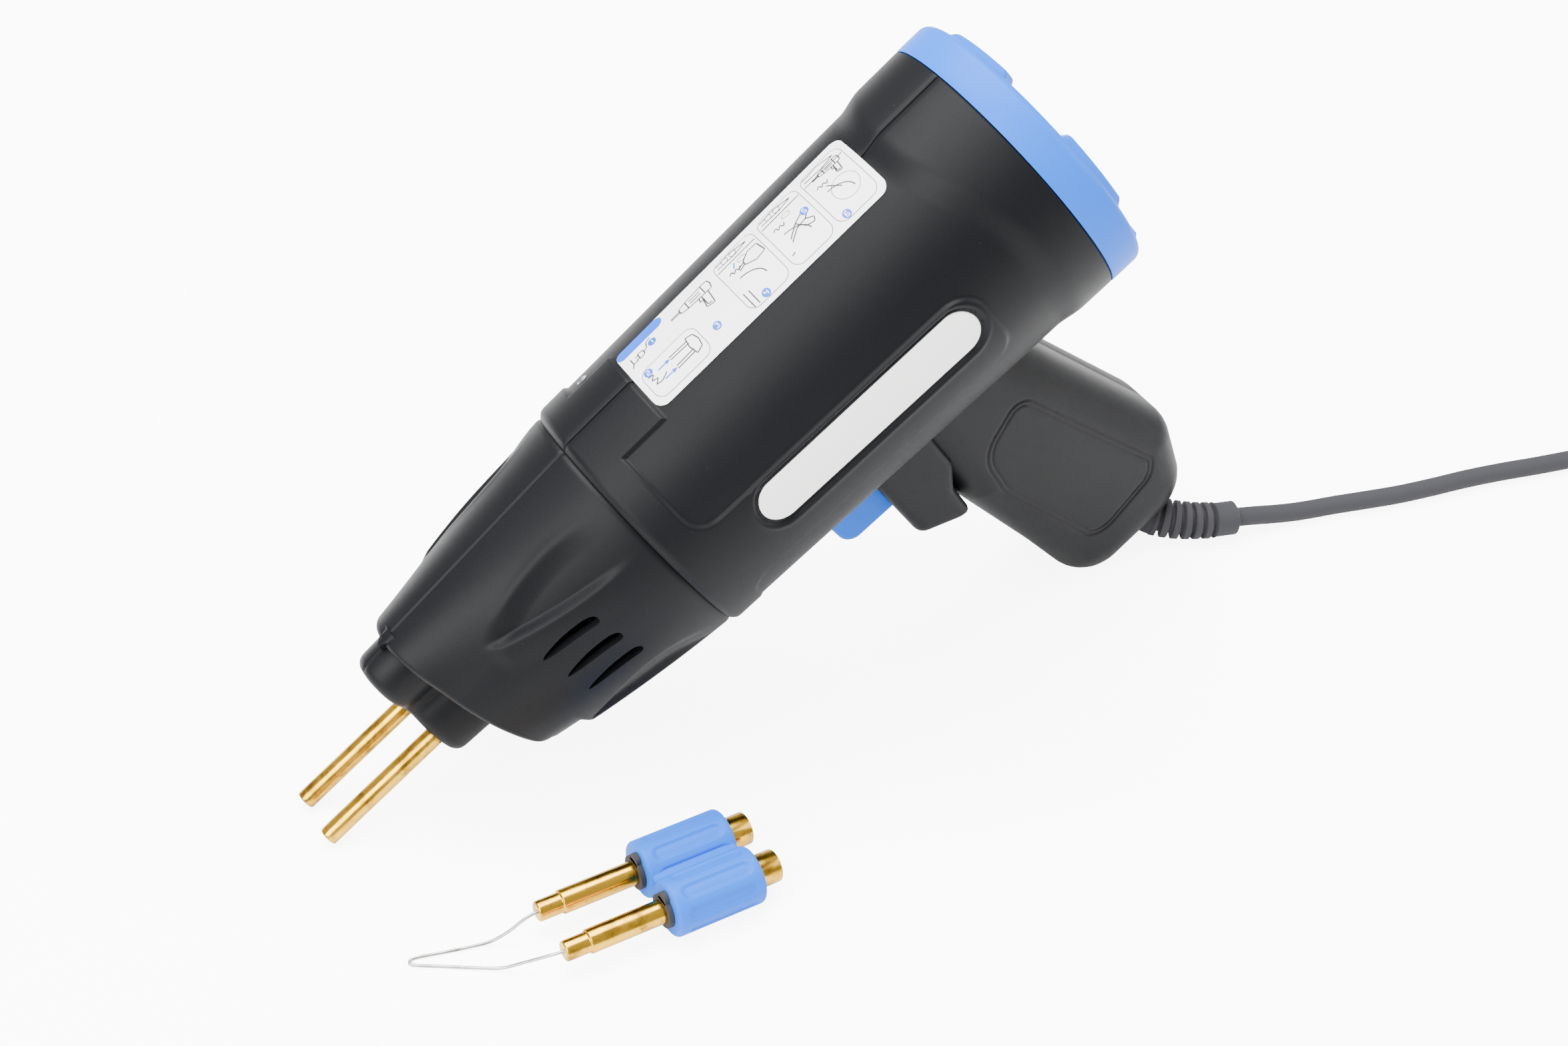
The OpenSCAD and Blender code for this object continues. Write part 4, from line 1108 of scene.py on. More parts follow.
    def gill(self, side: Side, u: float, v: float) -> bpy.types.Object:
        """Cutter for one slot: a bowed leaf, pointed in front and blunt behind, pushed through.

        Args:
            side: which half it cuts.
            u: distance of its point behind the rod tips.
            v: height of its point.

        Returns:
            The cutter.
        """
        leaf = [(0.0, 0.1), (1.2, 0.8), (4.5, 1.7), (9.0, 2.5), (13.5, 2.75), (16.8, 2.6), (18.7, 2.1),
                (19.7, 1.2), (19.9, 0.2),
                (19.4, -0.7), (18.2, -0.95), (13.5, -0.7), (8.5, -0.6), (4.0, -0.55), (0.7, -0.3), (0.0, 0.0)]
        line = smooth_curve(np.array(leaf, float), 0.4)
        rows = [from_gun(u + line[:, 0], side.value * y, v + line[:, 1]) for y in (22.0, 48.0)]
        cutter = build("cutter", [Sheet(np.array(rows), wrap=True, caps=(True, True))])
        bpy.context.view_layer.update()
        return cutter

    def snout(self, side: Side) -> bpy.types.Object:
        """Builds one half of the snout: the keyhole outline carried forward, with a rounded front."""
        deg = lines((0, 1, 0.5), (1, 179, 2.0), (179, 180, 0.5))
        stations = [(80.0, -0.15), (66.0, -0.15), (62.0, -0.15), (50.0, -0.5), (47.2, -0.62), (46.0, -0.9),
                    (45.0, -1.5),
                    (44.35, -2.3), (44.0, -3.4)]
        rows = []
        centre_v = self.keyhole_v
        for u, grow in stations:
            reach = self.keyhole(deg, centre_v, grow)
            soft = np.convolve(np.pad(reach, 3, mode="reflect"), np.ones(7) / 7, mode="valid")
            soft = soft - 0.35 * (1 - ease(np.minimum(deg, 180 - deg), 0.0, 2.0))
            y, v = soft * np.sin(np.radians(deg)), centre_v + soft * np.cos(np.radians(deg))
            rows.append(from_gun(np.full_like(deg, u), side.value * y, v))
        soft = self.keyhole(deg, centre_v, -3.4)
        for t in (0.35, 0.7, 0.97):
            y, v = (1 - t) * soft * np.sin(np.radians(deg)), centre_v + (1 - t) * soft * np.cos(np.radians(deg))
            rows.append(from_gun(np.full_like(deg, 43.9), side.value * y, v))
        obj = build(f"snout_{side.name.lower()}_shell",
                    [Sheet(np.array(rows), about=from_gun(62.0, 0.0, centre_v))])
        shell(obj, self.snout_wall)
        apply_modifiers(obj)
        rod = build("cutter", [turned_profile(np.array([[40.0, 2.72], [52.0, 2.72]]), side.value * 8.5, 1.0)])
        lamp = build("cutter", [turned_profile(np.array([[40.0, 6.05], [52.0, 6.05]]), 0.0, self.lamp_v)])
        bpy.context.view_layer.update()
        cut_with(obj, [rod, lamp])
        dress(obj, HOUSING)
        return obj

    def make(self) -> None:
        """Builds both halves of the nose and the snout and puts them on the gun."""
        for side, node in ((Side.LEFT, "left"), (Side.RIGHT, "right")):
            place(self.half(side), "gun", "housing", f"nose_{node}")
            place(self.snout(side), "gun", "housing", f"snout_{node}")


# ---- grip, switch block and trigger ------------------------------------------------------------


@dataclass
class Pillow:
    """A solid between two mirrored faces of one outline, with round edges.

    At distance d inside the outline the half width is hw - r + sqrt(r^2 - (r - d)^2), and hw where
    d is more than r. Grid columns run along the outline; rows run inwards to a spine.
    """

    outline: np.ndarray
    spine: np.ndarray
    half_width: float
    edge: float
    panel: np.ndarray | None = None
    groove: float = 0.42

    def rows(self) -> tuple[np.ndarray, np.ndarray]:
        """Grid of side-face points in u and v, and their half widths."""
        line = self.outline
        a, b = self.spine[0], self.spine[1]
        t = np.clip(((line - a) @ (b - a)) / ((b - a) @ (b - a)), 0, 1)
        inner = a + t[:, None] * (b - a)
        length = np.linalg.norm(inner - line, axis=1)
        theta = np.linspace(0, math.pi / 2, 9)
        near = self.edge * (1 - np.cos(theta))
        if self.panel is None:
            marks = [np.full(len(line), d) for d in near]
            last = marks[-1]
            marks += [last + (length - last) * f for f in (0.25, 0.5, 0.75, 0.97)]
        else:
            frac = np.linspace(0, 1, 260)
            grid = line[None] + frac[:, None, None] * (inner - line)[None]
            hit = inside(grid, self.panel)
            at = frac[np.argmax(hit, 0)] * length
            marks = [np.minimum(np.full(len(line), d), at - 3.0) for d in near]
            last = marks[-1]
            marks += [last + (at - 2.4 - last) * f for f in (0.33, 0.66, 1.0)]
            marks += [at + d for d in (-1.5, -1.0, -0.65, -0.35, 0.0, 0.35, 0.7, 1.05, 1.4, 1.75, 2.1, 2.5,
                                       3.2)]
            last = marks[-1]
            marks += [last + (length - last) * f for f in (0.3, 0.6, 0.97)]
        share = np.array(marks) / length
        points = line[None] + share[..., None] * (inner - line)[None]
        d = distance_to(points, line)
        d[0] = 0.0
        r = self.edge
        width = self.half_width - r + np.sqrt(np.maximum(r * r - (r - np.minimum(d, r)) ** 2, 0))
        if self.panel is not None:
            sd = distance_to(points, self.panel) * np.where(inside(points, self.panel), 1.0, -1.0)
            width = width - self.groove * (bell(sd, -0.1, 0.42) + 0.75 * bell(sd, 1.7, 0.36))
        return points, width

    def sheet(self, side: Side, smooth_seam: float = 0.25) -> Sheet:
        """One mirrored half as a grid that starts on the parting plane."""
        points, width = self.rows()
        centre = self.spine.mean(0)
        inward = centre - self.outline
        inward /= np.linalg.norm(inward, axis=1, keepdims=True)
        base = self.outline + smooth_seam * inward
        uv = np.concatenate([base[None], self.outline[None], points])
        w = np.concatenate([np.zeros((1, len(base))), np.full((1, len(base)), smooth_seam * 1.4), width])
        return Sheet(from_gun(uv[..., 0], side.value * w, uv[..., 1]), wrap=True, caps=(True, True))


@dataclass
class Grip:
    """Pistol grip with its side panels, the switch block in front of it, and the trigger."""

    half_width: float = 20.0
    edge: float = 13.0
    block_half: float = 18.6
    trigger_half: float = 7.4

    def outline(self) -> np.ndarray:
        """Grip outline, from the top rear round the heel and toe to the front."""
        corners = [(243, -20), (252, -50), (275.2, -129), (267, -162.4), (218.5, -162.6), (213.6, -127.5),
                   (206.5, -86), (206, -20)]
        return soft_corner_path(corners, [2, 34, 17, 17.5, 16, 9, 7, 2], 1.1)

    def panel(self) -> np.ndarray:
        """Outline of the double groove on each side."""
        corners = [(240.5, -58), (219.0, -68), (217.5, -88), (230.5, -141), (257.5, -136), (262, -129)]
        return soft_corner_path(corners, [6, 14, 16, 9, 7, 6], 0.8)

    def block_outline(self) -> np.ndarray:
        """Outline of the switch block in front of the grip."""
        corners = [(212.6, -20), (211.9, -62.5), (206.8, -72.5), (206.2, -86.2), (202, -85.6), (189, -77.5),
                   (188.6, -20)]
        return soft_corner_path(corners, [1, 5, 6, 1.5, 6, 5, 1], 0.9)

    def half(self, side: Side) -> bpy.types.Object:
        """Builds one half of the grip with its grooves."""
        form = Pillow(self.outline(), np.array([[233.5, -82.0], [243.5, -124.0]]), self.half_width,
                      self.edge, self.panel())
        sheet = form.sheet(side)
        obj = build(f"grip_{side.name.lower()}", [sheet], sharp=50.0)
        dress(obj, HOUSING)
        return obj

    def block(self, side: Side) -> bpy.types.Object:
        """Builds one half of the switch block."""
        form = Pillow(self.block_outline(), np.array([[200.0, -45.0], [199.0, -70.0]]), self.block_half, 3.2)
        sheet = form.sheet(side)
        obj = build(f"switch_block_{side.name.lower()}", [sheet], sharp=50.0)
        dress(obj, HOUSING)
        return obj

    def trigger(self) -> bpy.types.Object:
        """Builds the trigger from two mirrored halves."""
        corners = [(191.5, -43.8), (191.5, -71.2), (170.2, -70.4), (169.0, -43.8)]
        path = soft_corner_path(corners, [0.8, 1.0, 5.5, 1.0], 0.6)
        form = Pillow(path, np.array([[181.0, -53.0], [181.0, -61.0]]), self.trigger_half, 2.4)
        sheets = []
        for side in Side:
            sheet = form.sheet(side, 0.0)
            sheet.caps = (False, True)
            sheets.append(sheet)
        obj = build("trigger_blade", sheets, weld=0.02, sharp=50.0)
        dress(obj, BLUE)
        return obj

    def make(self) -> None:
        """Builds the grip, its block and the trigger."""
        for side in Side:
            place(self.half(side), "gun", "housing")
            place(self.block(side), "gun", "housing")
        place(self.trigger(), "trigger", "blue_plastic", "trigger")


# ---- rear cap ----------------------------------------------------------------------------------


@dataclass
class RearCap:
    """Blue cap with a plain band, a rounded rim and five hooded vents round its face."""

    hoods: int = 5
    hood_centre: float = -2.0
    hood_half: float = 20.0

    def profile(self) -> np.ndarray:
        """(u, radius) from the front edge over the rim to the centre of the face."""
        rim = [(281.0, 44.0), (281.0, 46.15), (281.4, 46.3), (286.0, 46.35), (290.0, 46.35)]
        t = np.linspace(0, math.pi / 2, 9)
        arc = [(290.0 + 3.0 * math.sin(a), 43.35 + 3.0 * math.cos(a)) for a in t[1:]]
        radii = np.concatenate([np.linspace(42.6, 31.5, 16), np.linspace(30, 0.4, 12)])
        face = [(293.0 + 2.4 * (1 - (r / 43.0) ** 2), r) for r in radii]
        return np.array(rim + arc + face)

    def make(self) -> None:
        """Builds the cap and puts it on the gun."""
        prof = self.profile()
        deg = np.linspace(0, 360, 360, endpoint=False)
        u, r = prof[:, :1] + 0 * deg, prof[:, 1:] + 0 * deg
        spacing = 360.0 / self.hoods
        near = np.abs((deg - self.hood_centre + spacing / 2) % spacing - spacing / 2)
        across = 1 - ease(near, self.hood_half - 2.5, self.hood_half + 0.5)
        along = ease(r, 33.2, 35.6) * (1 - ease(r, 41.2, 43.2))
        lift = 2.2 * across * along
        slot = ease(r, 36.3, 36.9) * (1 - ease(r, 39.0, 39.6))
        vent = (1 - ease(near, self.hood_half - 5.0, self.hood_half - 4.0)) * slot
        u = u + lift - 2.2 * vent
        ang = np.radians(deg)
        points = from_gun(u, -r * np.sin(ang), r * np.cos(ang))
        obj = build("rear_cap_shell", [Sheet(points, wrap=True, caps=(False, True))], sharp=40.0)
        shell(obj, 2.0)
        dress(obj, BLUE)
        place(obj, "gun", "blue_plastic", "rear_cap")


# ---- rods --------------------------------------------------------------------------------------


@dataclass
class Rods:
    """Two brass rods with a staple hole in each free end."""

    radius: float = 3.0
    gap: float = 17.0
    height: float = 1.0
    length: float = 104.0
    shoulder: float = 43.6
    shank: float = 2.6

    def make(self) -> None:
        """Builds both rods as turned bars with a drilled end."""
        for side, node in ((Side.LEFT, "left"), (Side.RIGHT, "right")):
            prof = [(8.0, 0.05), (8.0, 0.8), (0.15, 0.8), (0.0, 0.95), (0.0, 2.6), (0.12, 2.88), (0.4, 3.0)]
            body = [(u, 3.0) for u in np.linspace(2.0, self.shoulder, 12)]
            shank = [(self.shoulder, self.shank), (self.length, self.shank), (self.length, 0.05)]
            sheet = turned_profile(np.array(prof + body + shank), side.value * self.gap / 2, self.height, 48)
            obj = build(f"brass_rod_{node}", [sheet])
            dress(obj, BRASS)
            place(obj, "gun", "brass_part", f"rod_{node}")


# ---- mains cord --------------------------------------------------------------------------------


@dataclass
class MainsCord:
    """Strain relief, cord, its stored coil with a tie, and the plug."""

    diameter: float = 6.5
    length_m: float = 2.02
    coil_centre: tuple[float, float] = (580.0, -9.75)
    coil_radius: float = 38.5
    coil_turns: float = 7.25
    shift_turns: float = 0.22
    plug_height: float = 26.35
    sleeve: tuple = ((289, 2.5, 16.5), (293.3, -1.5, 14), (297.7, -5.5, 11.5), (302, -9.5, 9.2),
                     (307, -13.5, 8.3),
                     (313, -17, 7.8), (320, -19.9, 7.4), (328, -22, 7))
    run: tuple = ((324, -21, 7.2), (330, -22.5, 6.8), (336, -23.7, 6), (343, -25, 4.8), (351, -26.6, 3.8),
                  (359, -28.2, 3.35), (367, -30, 3.3), (379, -33.2, 3.3), (391, -36.2, 3.3), (404, -38.6, 3.3),
                  (418, -40.8, 3.3), (432, -43.7, 3.3), (445, -46.9, 3.3), (458, -49.8, 3.3), (471, -52.2, 3.3),
                  (483, -53.8, 3.3), (494, -54.6, 3.3), (505, -54.75, 3.3), (517.5, -54.75, 3.3),
                  (530, -54.75, 3.3), (542.5, -54.75, 3.3), (555, -54.75, 3.3), (567.5, -54.75, 3.3),
                  (580, -54.75, 3.3))

    def coil_path(self) -> np.ndarray:
        """Centre line of the coil: nine lanes, three side by side and three deep.

        The strand leaves each lane a little under one turn after it entered, so it is out of the way
        before it meets its own start, and strands stay one diameter apart. Each shift is two
        parabolas end to end, the gentlest bend for its length. The last part climbs to the plug.
        """
        d = self.diameter
        lanes = [(1, 0), (0, 0), (-1, 0), (-1, 1), (0, 1), (1, 1), (1, 2), (0, 2), (-1, 2)]
        turns = np.linspace(0, self.coil_turns, int(self.coil_turns * 84) + 1)
        start = (np.arange(1, len(lanes)) * (1 - self.shift_turns))[:, None]
        step = np.diff(np.array(lanes, float), axis=0)
        share = self.parabolas((turns[None] - start) / self.shift_turns)
        r = self.coil_radius + d * (lanes[0][0] + (step[:, :1] * share).sum(0))
        z = d / 2 + 0.05 + d * (lanes[0][1] + (step[:, 1:] * share).sum(0))
        z = z + self.parabolas((turns - (self.coil_turns - 0.36)) / 0.26) * (self.plug_height - z)
        ang = 2 * math.pi * turns - math.pi / 2
        return np.stack([self.coil_centre[0] + r * np.cos(ang), self.coil_centre[1] + r * np.sin(ang), z], -1)

    def parabolas(self, t: np.ndarray) -> np.ndarray:
        """Smooth step of two parabolas: 2 t^2 up to the middle, then 1 - 2 (1 - t)^2."""
        t = np.clip(t, 0.0, 1.0)
        return np.where(t < 0.5, 2 * t * t, 1 - 2 * (1 - t) ** 2)

    def make(self) -> None:
        run = np.array(self.run, float)
        coil = self.coil_path()
        path = np.concatenate([smooth_curve(run, 2.4)[:-1], coil])
        radii = np.full(len(path), self.diameter / 2)
        cord = build("power_cord_tube", [swept(path, radii, 20)])
        dress(cord, RUBBER)
        place(cord, "gun", "cord_rubber", "power_cord", "cord_coil")
        place(self.sleeve_piece(), "gun", "cord_rubber", "strain_relief")
        plug = self.plug(path)
        tie = self.tie()

    def sleeve_piece(self) -> bpy.types.Object:
        """Builds the ribbed sleeve: a swept tube whose radius steps between ribs and gaps."""
        path = smooth_curve(np.array(self.sleeve, float), 0.3)
        at = np.concatenate([[0], np.cumsum(np.linalg.norm(np.diff(path, axis=0), axis=1))])
        total = at[-1]
        ribs_from, ribs_to, count = 19.5, total - 8.0, 6
        phase = (at - ribs_from) / (ribs_to - ribs_from) * count
        cut = ease(np.abs(phase % 1.0 - 0.72), 0.13, 0.22)
        crest = 6.95 - 0.75 * np.clip(phase / count, 0, 1)
        ribbed = crest - 1.9 * (1 - cut)
        radii = np.where(phase < 0, 6.7, np.where(phase > count, 5.85, ribbed))
        radii = np.minimum(radii, 5.0 + 2.2 * ease(total - at, 0.0, 1.0))
        obj = build("strain_relief_sleeve", [swept(path, radii, 40)], sharp=45.0)
        dress(obj, RUBBER)
        return obj

    def tie(self) -> bpy.types.Object:
        """Builds the strap round the coil: a rounded loop with a fine thickness."""
        reach, top = 1.5 * self.diameter + 0.45, 3 * self.diameter
        corners = [(-reach, 0.1), (reach, 0.1), (reach, top + 0.55), (-reach, top + 0.55)]
        loop = soft_corner_path(corners, [2.5] * 4, 0.8)
        inner = soft_corner_path([(x * 0.955, 0.35 + (z - 0.35) * 0.955) for x, z in corners], [2.2] * 4, 0.8)
        count = min(len(loop), len(inner))
        loop, inner = loop[:count], inner[:count]
        x0, y0 = self.coil_centre[0] - self.coil_radius, self.coil_centre[1]
        rows = []
        for line, y in ((inner, -4.0), (loop, -4.0), (loop, 4.0), (inner, 4.0), (inner, -4.0)):
            rows.append(from_table(np.stack([x0 + line[:, 0], np.full(count, y0 + y), line[:, 1]], -1)))
        obj = build("coil_strap", [Sheet(np.array(rows), wrap=True)], weld=0.01)
        dress(obj, RUBBER)
        place(obj, "gun", "dark_part", "coil_tie")
        return obj

    def plug(self, path: np.ndarray) -> bpy.types.Object:
        """Builds the plug lying on the coil, with a ribbed neck that follows the cord's last stretch.

        Args:
            path: the cord's centre line in table-frame millimetres.

        Returns:
            The plug.
        """
        x0, y0 = self.coil_centre[0] + self.coil_radius - self.diameter, self.coil_centre[1]
        z0 = 3 * self.diameter
        corners = [(-17.4, 35.9), (-17.4, 18), (-6, 0.2), (6, 0.2), (17.4, 18), (17.4, 35.9)]
        line = soft_corner_path(corners, [2.5, 8, 4, 4, 8, 2.5], 1.2)
        half = 6.75
        rows = []
        for f in (0.02, 0.5):
            rows.append(np.stack([line[:, 0] * f, 21 + (line[:, 1] - 21) * f, np.full(len(line), -half)], -1))
        for t in np.linspace(-math.pi / 2, math.pi / 2, 11):
            k = 1 - 0.16 * (1 - math.cos(t))
            rows.append(np.stack([line[:, 0] * k, 21 + (line[:, 1] - 21) * k,
                                  np.full(len(line), half * math.sin(t))], -1))
        for f in (0.5, 0.02):
            rows.append(np.stack([line[:, 0] * f, 21 + (line[:, 1] - 21) * f, np.full(len(line), half)], -1))
        body = Sheet(from_table(np.array(rows) + np.array([x0, y0, z0 + half + 0.05])), wrap=True,
                     caps=(True, True))
        neck = np.concatenate([resample(path[-9:], 0.5), [path[-1] + np.array([0.0, 2.0, 0.0])]])
        wave = 4.6 - 0.5 * (np.sin(np.arange(len(neck)) * 1.05) > 0.2)
        obj = build("plug_moulding", [body, swept(neck, wave, 28)], sharp=45.0)
        dress(obj, RUBBER)
        place(obj, "gun", "cord_rubber", "plug_body")
        return obj


# ---- smoothing tip -----------------------------------------------------------------------------


@dataclass
class SmoothingTip:
    """Slip-on tip: fluted twin block, brass sockets and tubes, black clips and a bent wire."""

    ys: tuple[float, float] = (-69.8, -86.8)
    block_r: float = 8.8
    front_x: float = 70.5
    rear_x: float = 99.3

    def barrel(self, y: float) -> Sheet:
        """One barrel of the block: a round bar with U-shaped flutes sunk along it.

        The radius is the bar's, less a smooth trough at each flute, whose front end is rounded.
        """
        a, b = self.front_x + 2, self.rear_x - 2
        x = lines((self.front_x, a, 0.25), (a, b, 0.55), (b, self.rear_x, 0.25))
        deg = np.linspace(0, 360, 180, endpoint=False)
        xx, dd = np.meshgrid(x, deg, indexing="ij")
        r = np.full_like(xx, self.block_r)
        spacing = 45.0
        near = (np.abs((dd - 22.5 + spacing / 2) % spacing - spacing / 2)) * math.pi / 180 * self.block_r
        along = np.maximum(np.maximum(self.front_x + 5.5 - xx, xx - (self.rear_x - 5.0)), 0)
        edge = np.hypot(near, along) - 2.3
        r = r - 0.75 * ease(-edge, -0.25, 0.9)
        ends = np.minimum(xx - self.front_x, self.rear_x - xx)
        r = r - 1.3 * (1 - np.sqrt(np.clip(1 - (1 - np.clip(ends / 1.3, 0, 1)) ** 2, 0, 1)))
        ang = np.radians(dd)
        points = np.stack([xx, y + r * np.sin(ang), self.block_r + r * np.cos(ang)], -1)
        ends = [
            np.stack([np.full_like(deg, at), y + hole * np.sin(ang[0]),
                      self.block_r + hole * np.cos(ang[0])], -1)
            for at, hole in ((self.front_x, 3.66), (self.rear_x, 5.02))
        ]
        return Sheet(from_table(np.concatenate([ends[:1], points, ends[1:]])), wrap=True)

    def web(self) -> Sheet:
        """The web between the two barrels: a flat bar with a waist."""
        x = np.array([self.front_x + 0.6, self.front_x + 1.2, self.rear_x - 1.2, self.rear_x - 0.6])
        half = np.array([3.9, 4.6, 4.6, 3.9])
        y = np.array([self.ys[1], self.ys[0], self.ys[0], self.ys[1]])
        z = self.block_r + half[:, None] * np.array([1.0, 1.0, -1.0, -1.0])
        rows = np.stack(np.broadcast_arrays(x[:, None], y, z), -1)
        return Sheet(from_table(rows), wrap=True, caps=(True, True))

    def make(self) -> None:
        """Builds the block, sockets, tubes, clips and wire and puts them on the loose tip."""
        block = build("tip_block_moulding", [*map(self.barrel, self.ys), self.web()], sharp=40.0)
        dress(block, BLUE)
        place(block, "smoothing_tip", "blue_plastic", "tip_block")
        sockets, tubes, clips = [], [], []
        for y in self.ys:
            prof = [(90.0, 0.05), (90.0, 3.1), (106.2, 3.1), (106.6, 3.5), (106.7, 3.8), (106.7, 4.5),
                    (106.45, 4.85), (106.0, 5.0), (98.0, 5.0), (84.0, 5.0), (84.0, 0.05)]
            sockets.append(table_turned(np.array(prof)[::-1], y, self.block_r))
            prof = [(84.0, 0.05), (84.0, 3.65), (60.0, 3.65), (45.4, 3.65), (45.0, 3.1), (44.0, 3.1),
                    (38.0, 3.1), (37.6, 2.7), (37.6, 0.55), (41.0, 0.55), (41.0, 0.05)]
            tubes.append(table_turned(rounded_profile(prof, 0.25), y, self.block_r))
            clip = [(70.4, 3.68), (70.4, 5.3), (68.9, 5.3), (68.9, 3.68)]
            clips.append(table_turned(np.array(clip), y, self.block_r))
            clips.append(self.clip_tab(y))
        for name, sheets, finish, slot, node, weld in (
            ("tip_socket_tubes", sockets, BRASS, "brass_part", "tip_sockets", 0.0),
            ("tip_front_tubes", tubes, BRASS, "brass_part", "tip_tubes", 0.0),
            ("tip_front_clips", clips, RUBBER, "dark_part", "tip_clips", 0.01),
        ):
            obj = build(name, sheets, weld)
            dress(obj, finish)
            place(obj, "smoothing_tip", slot, node)
        self.wire()

    def clip_tab(self, y: float) -> Sheet:
        """Small ear of a clip that stands above its tube."""
        ang = np.linspace(0, math.pi, 12)
        top = np.stack([y + 2.1 * np.cos(ang), self.block_r + 5.3 + 1.9 * np.sin(ang)], -1)
        line = np.concatenate([top, [[y - 2.1, self.block_r + 4.0], [y + 2.1, self.block_r + 4.0]]])
        rows = [np.stack([np.full(len(line), x), line[:, 0], line[:, 1]], -1) for x in (70.4, 68.9)]
        return Sheet(from_table(np.array(rows)), wrap=True, caps=(True, True))

    def wire(self) -> None:
        """Builds the bent wire."""
        pts = np.array([(41, -69.8, 8.8), (38.4, -69.8, 8.8), (34, -69.6, 7.6), (29, -69, 4.3),
                        (24, -67.6, 1.5), (18, -66, 0.8), (11, -64.1, 0.55),
                        (4, -62.3, 0.55), (1.6, -62.2, 0.55), (0.9, -63.3, 0.55), (2, -64.6, 0.55),
                        (9, -69, 0.55),
                        (16, -73.5, 0.7), (22.5, -77.8, 1.3), (28, -81.3, 4.1), (34, -85.2, 7.6),
                        (38.4, -86.8, 8.8), (41, -86.8, 8.8)], float)
        path = smooth_curve(pts, 0.35)
        obj = build("tip_bent_wire", [swept(path, np.full(len(path), 0.5), 12)])
        dress(obj, WIRE)
        place(obj, "smoothing_tip", "steel_part", "tip_wire")


# ---- carried-over parts ------------------------------------------------------------------------


CARRIED: dict[str, object] = {
    "housing_screws": STEEL, "rod_insulator": CERAMIC, "rod_clamps": BRASS,
    "clamp_screws": STEEL, "bus_bar_left": COPPER, "bus_bar_right": COPPER, "core": IRON, "core_frame": STEEL,
    "core_bolts": STEEL, "bobbin": NYLON, "primary_winding": ENAMEL, "secondary_winding": COPPER,
    "thermal_cutout": STEEL, "work_light": CERAMIC, "light_board": BOARD, "light_lens": Lens(),
    "switch_body": RUBBER, "trigger_spring": STEEL, "switch_plunger": NYLON, "terminal_block": CERAMIC,
    "internal_leads": LEAD, "cord_clamp": RUBBER, "clamp_bridge_screws": STEEL, "plug_pins": STEEL,
}


def dress_carried() -> None:
    """Gives every CAD node that still shows its own finish."""
    for name, finish in CARRIED.items():
        dress(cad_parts[name], finish)
        LOG.info("%s keeps its CAD shape", name)


# ---- studio ------------------------------------------------------------------------------------


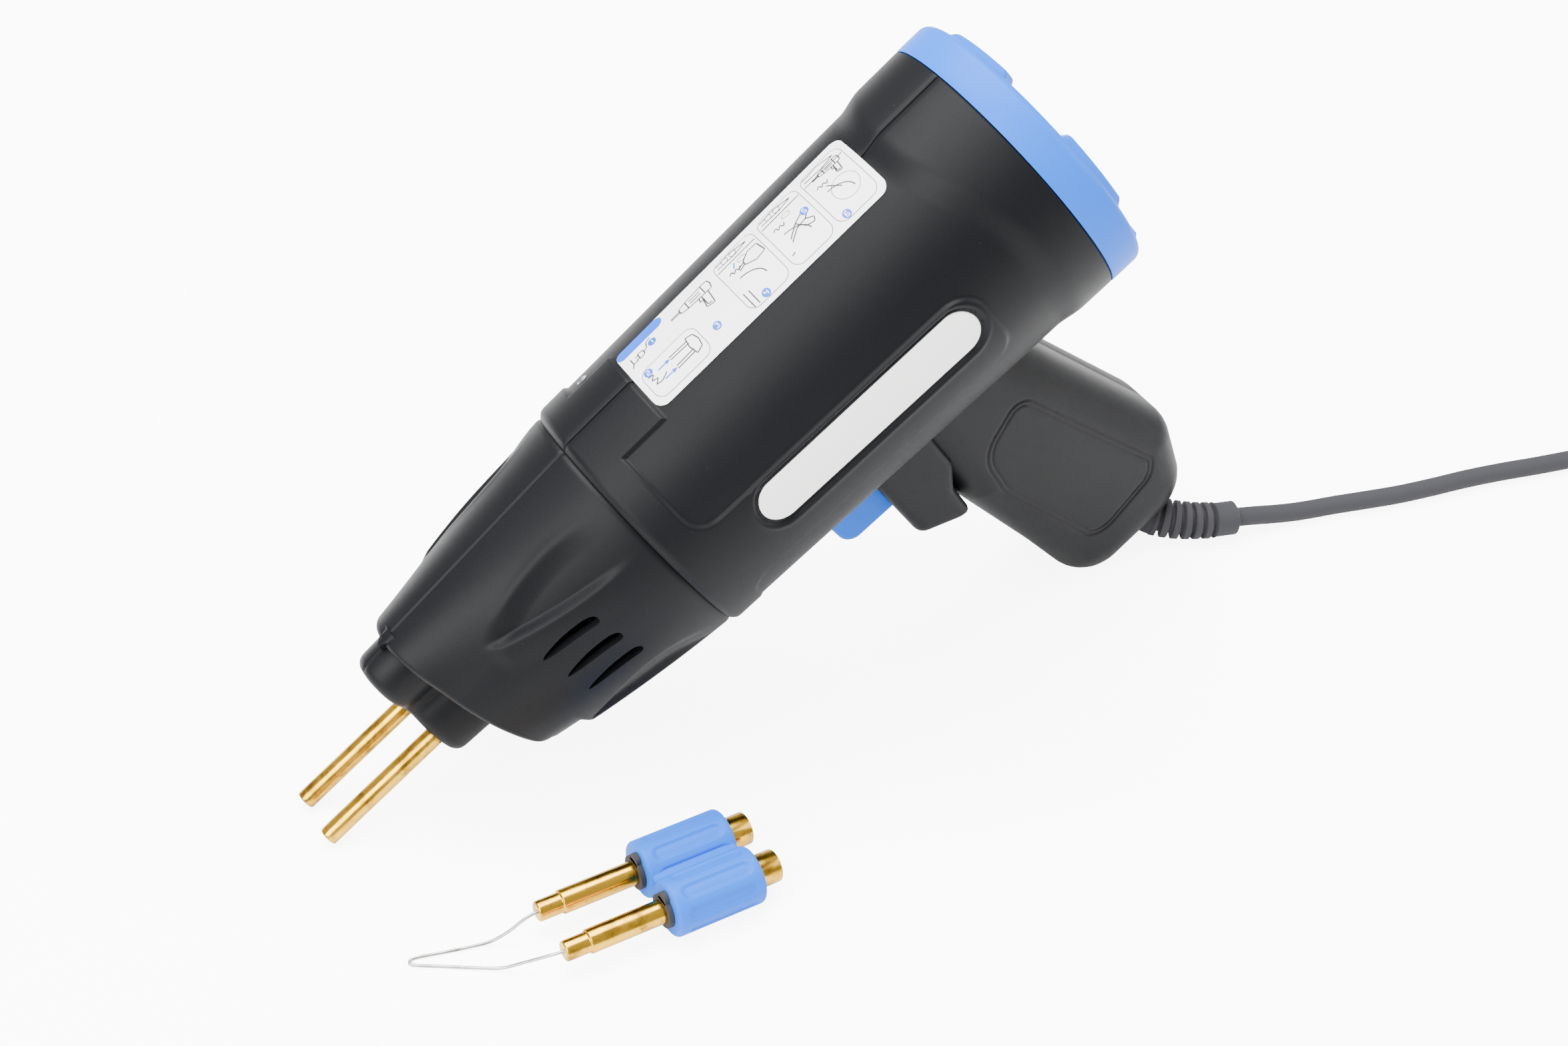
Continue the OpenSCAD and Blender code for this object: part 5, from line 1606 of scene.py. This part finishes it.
@dataclass
class Studio:
    """Pale floor, soft box lights and the camera."""

    camera_at: tuple[float, float, float] = (-176.1, -527.7, 568.9)
    forward: tuple[float, float, float] = (0.4141, 0.6516, -0.6355)
    up: tuple[float, float, float] = (0.3006, 0.5611, 0.7712)
    lens: float = 59.87
    floor_half: float = 4.0
    floor_bounce: float = 0.25
    floor_glow: float = 7.0
    surround: float = 0.75

    def camera(self) -> None:
        """Places the camera from its point, its forward and its up directions."""
        data = bpy.data.cameras.new("camera")
        data.lens = self.lens
        data.sensor_width = 36.0
        data.clip_start, data.clip_end = 0.01, 50.0
        obj = bpy.data.objects.new("camera", data)
        back = -Vector(self.forward).normalized()
        right = Vector(self.up).cross(back).normalized()
        up = back.cross(right)
        turn = Matrix((right, up, back)).transposed().to_4x4()
        obj.matrix_world = Matrix.Translation(Vector(from_table(np.array(self.camera_at)))) @ turn
        bpy.context.scene.collection.objects.link(obj)
        bpy.context.scene.camera = obj

    def floor(self) -> None:
        """Builds a wide pale floor that looks lit evenly but throws little light back."""
        mesh = bpy.data.meshes.new("floor")
        s = self.floor_half
        mesh.from_pydata([(-s, -s, 0), (s, -s, 0), (s, s, 0), (-s, s, 0)], [], [(0, 1, 2, 3)])
        obj = bpy.data.objects.new("floor", mesh)
        bpy.context.scene.collection.objects.link(obj)
        mat = bpy.data.materials.new("studio_floor")
        mat.use_nodes = True
        shader = mat.node_tree.nodes["Principled BSDF"]
        shader.inputs["Base Color"].default_value = (0.93, 0.93, 0.93, 1.0)
        shader.inputs["Roughness"].default_value = 0.9
        shader.inputs["Specular IOR Level"].default_value = 0.1
        shader.inputs["Emission Color"].default_value = (1.0, 1.0, 1.0, 1.0)
        seen = mat.node_tree.nodes.new("ShaderNodeLightPath").outputs["Is Camera Ray"]
        glow = spread(mat.node_tree, seen, 0.0, 1.0, self.floor_bounce, self.floor_glow)
        mat.node_tree.links.new(glow, shader.inputs["Emission Strength"])
        mesh.materials.append(mat)

    def light(self, name: str, at: tuple, aim: tuple, size: float, power: float) -> None:
        """Adds one square soft box.

        Args:
            name: the light's name.
            at: its place in metres.
            aim: the point it faces.
            size: its side in metres.
            power: its power in watts.
        """
        data = bpy.data.lights.new(name, "AREA")
        data.shape, data.size, data.energy = "SQUARE", size, power
        obj = bpy.data.objects.new(name, data)
        direction = Vector(aim) - Vector(at)
        obj.rotation_euler = direction.to_track_quat("-Z", "Y").to_euler()
        obj.location = at
        bpy.context.scene.collection.objects.link(obj)

    def make(self) -> None:
        """Builds the camera, floor, lights and pale surroundings."""
        self.camera()
        self.floor()
        self.light("soft_top", (-0.1, 0.35, 1.5), (0.0, 0.0, 0.08), 1.4, 88.0)
        self.light("soft_left", (-1.3, -0.5, 1.0), (0.0, 0.0, 0.08), 1.1, 46.0)
        self.light("soft_right", (1.3, -0.6, 0.9), (0.0, 0.0, 0.08), 1.1, 18.0)
        world = bpy.data.worlds.new("studio")
        world.use_nodes = True
        back = world.node_tree.nodes["Background"]
        back.inputs["Color"].default_value = (1.0, 1.0, 1.0, 1.0)
        back.inputs["Strength"].default_value = self.surround
        bpy.context.scene.world = world


def main() -> None:
    """Builds the studio and every sub-assembly."""
    logging.basicConfig(level=logging.INFO, format="%(message)s")
    Studio().make()
    MainsCord().make()
    barrel = Barrel()
    barrel.make()
    Label(barrel).make()
    Nose().make()
    Grip().make()
    RearCap().make()
    Rods().make()
    SmoothingTip().make()
    dress_carried()


if __name__ == "__main__":
    main()
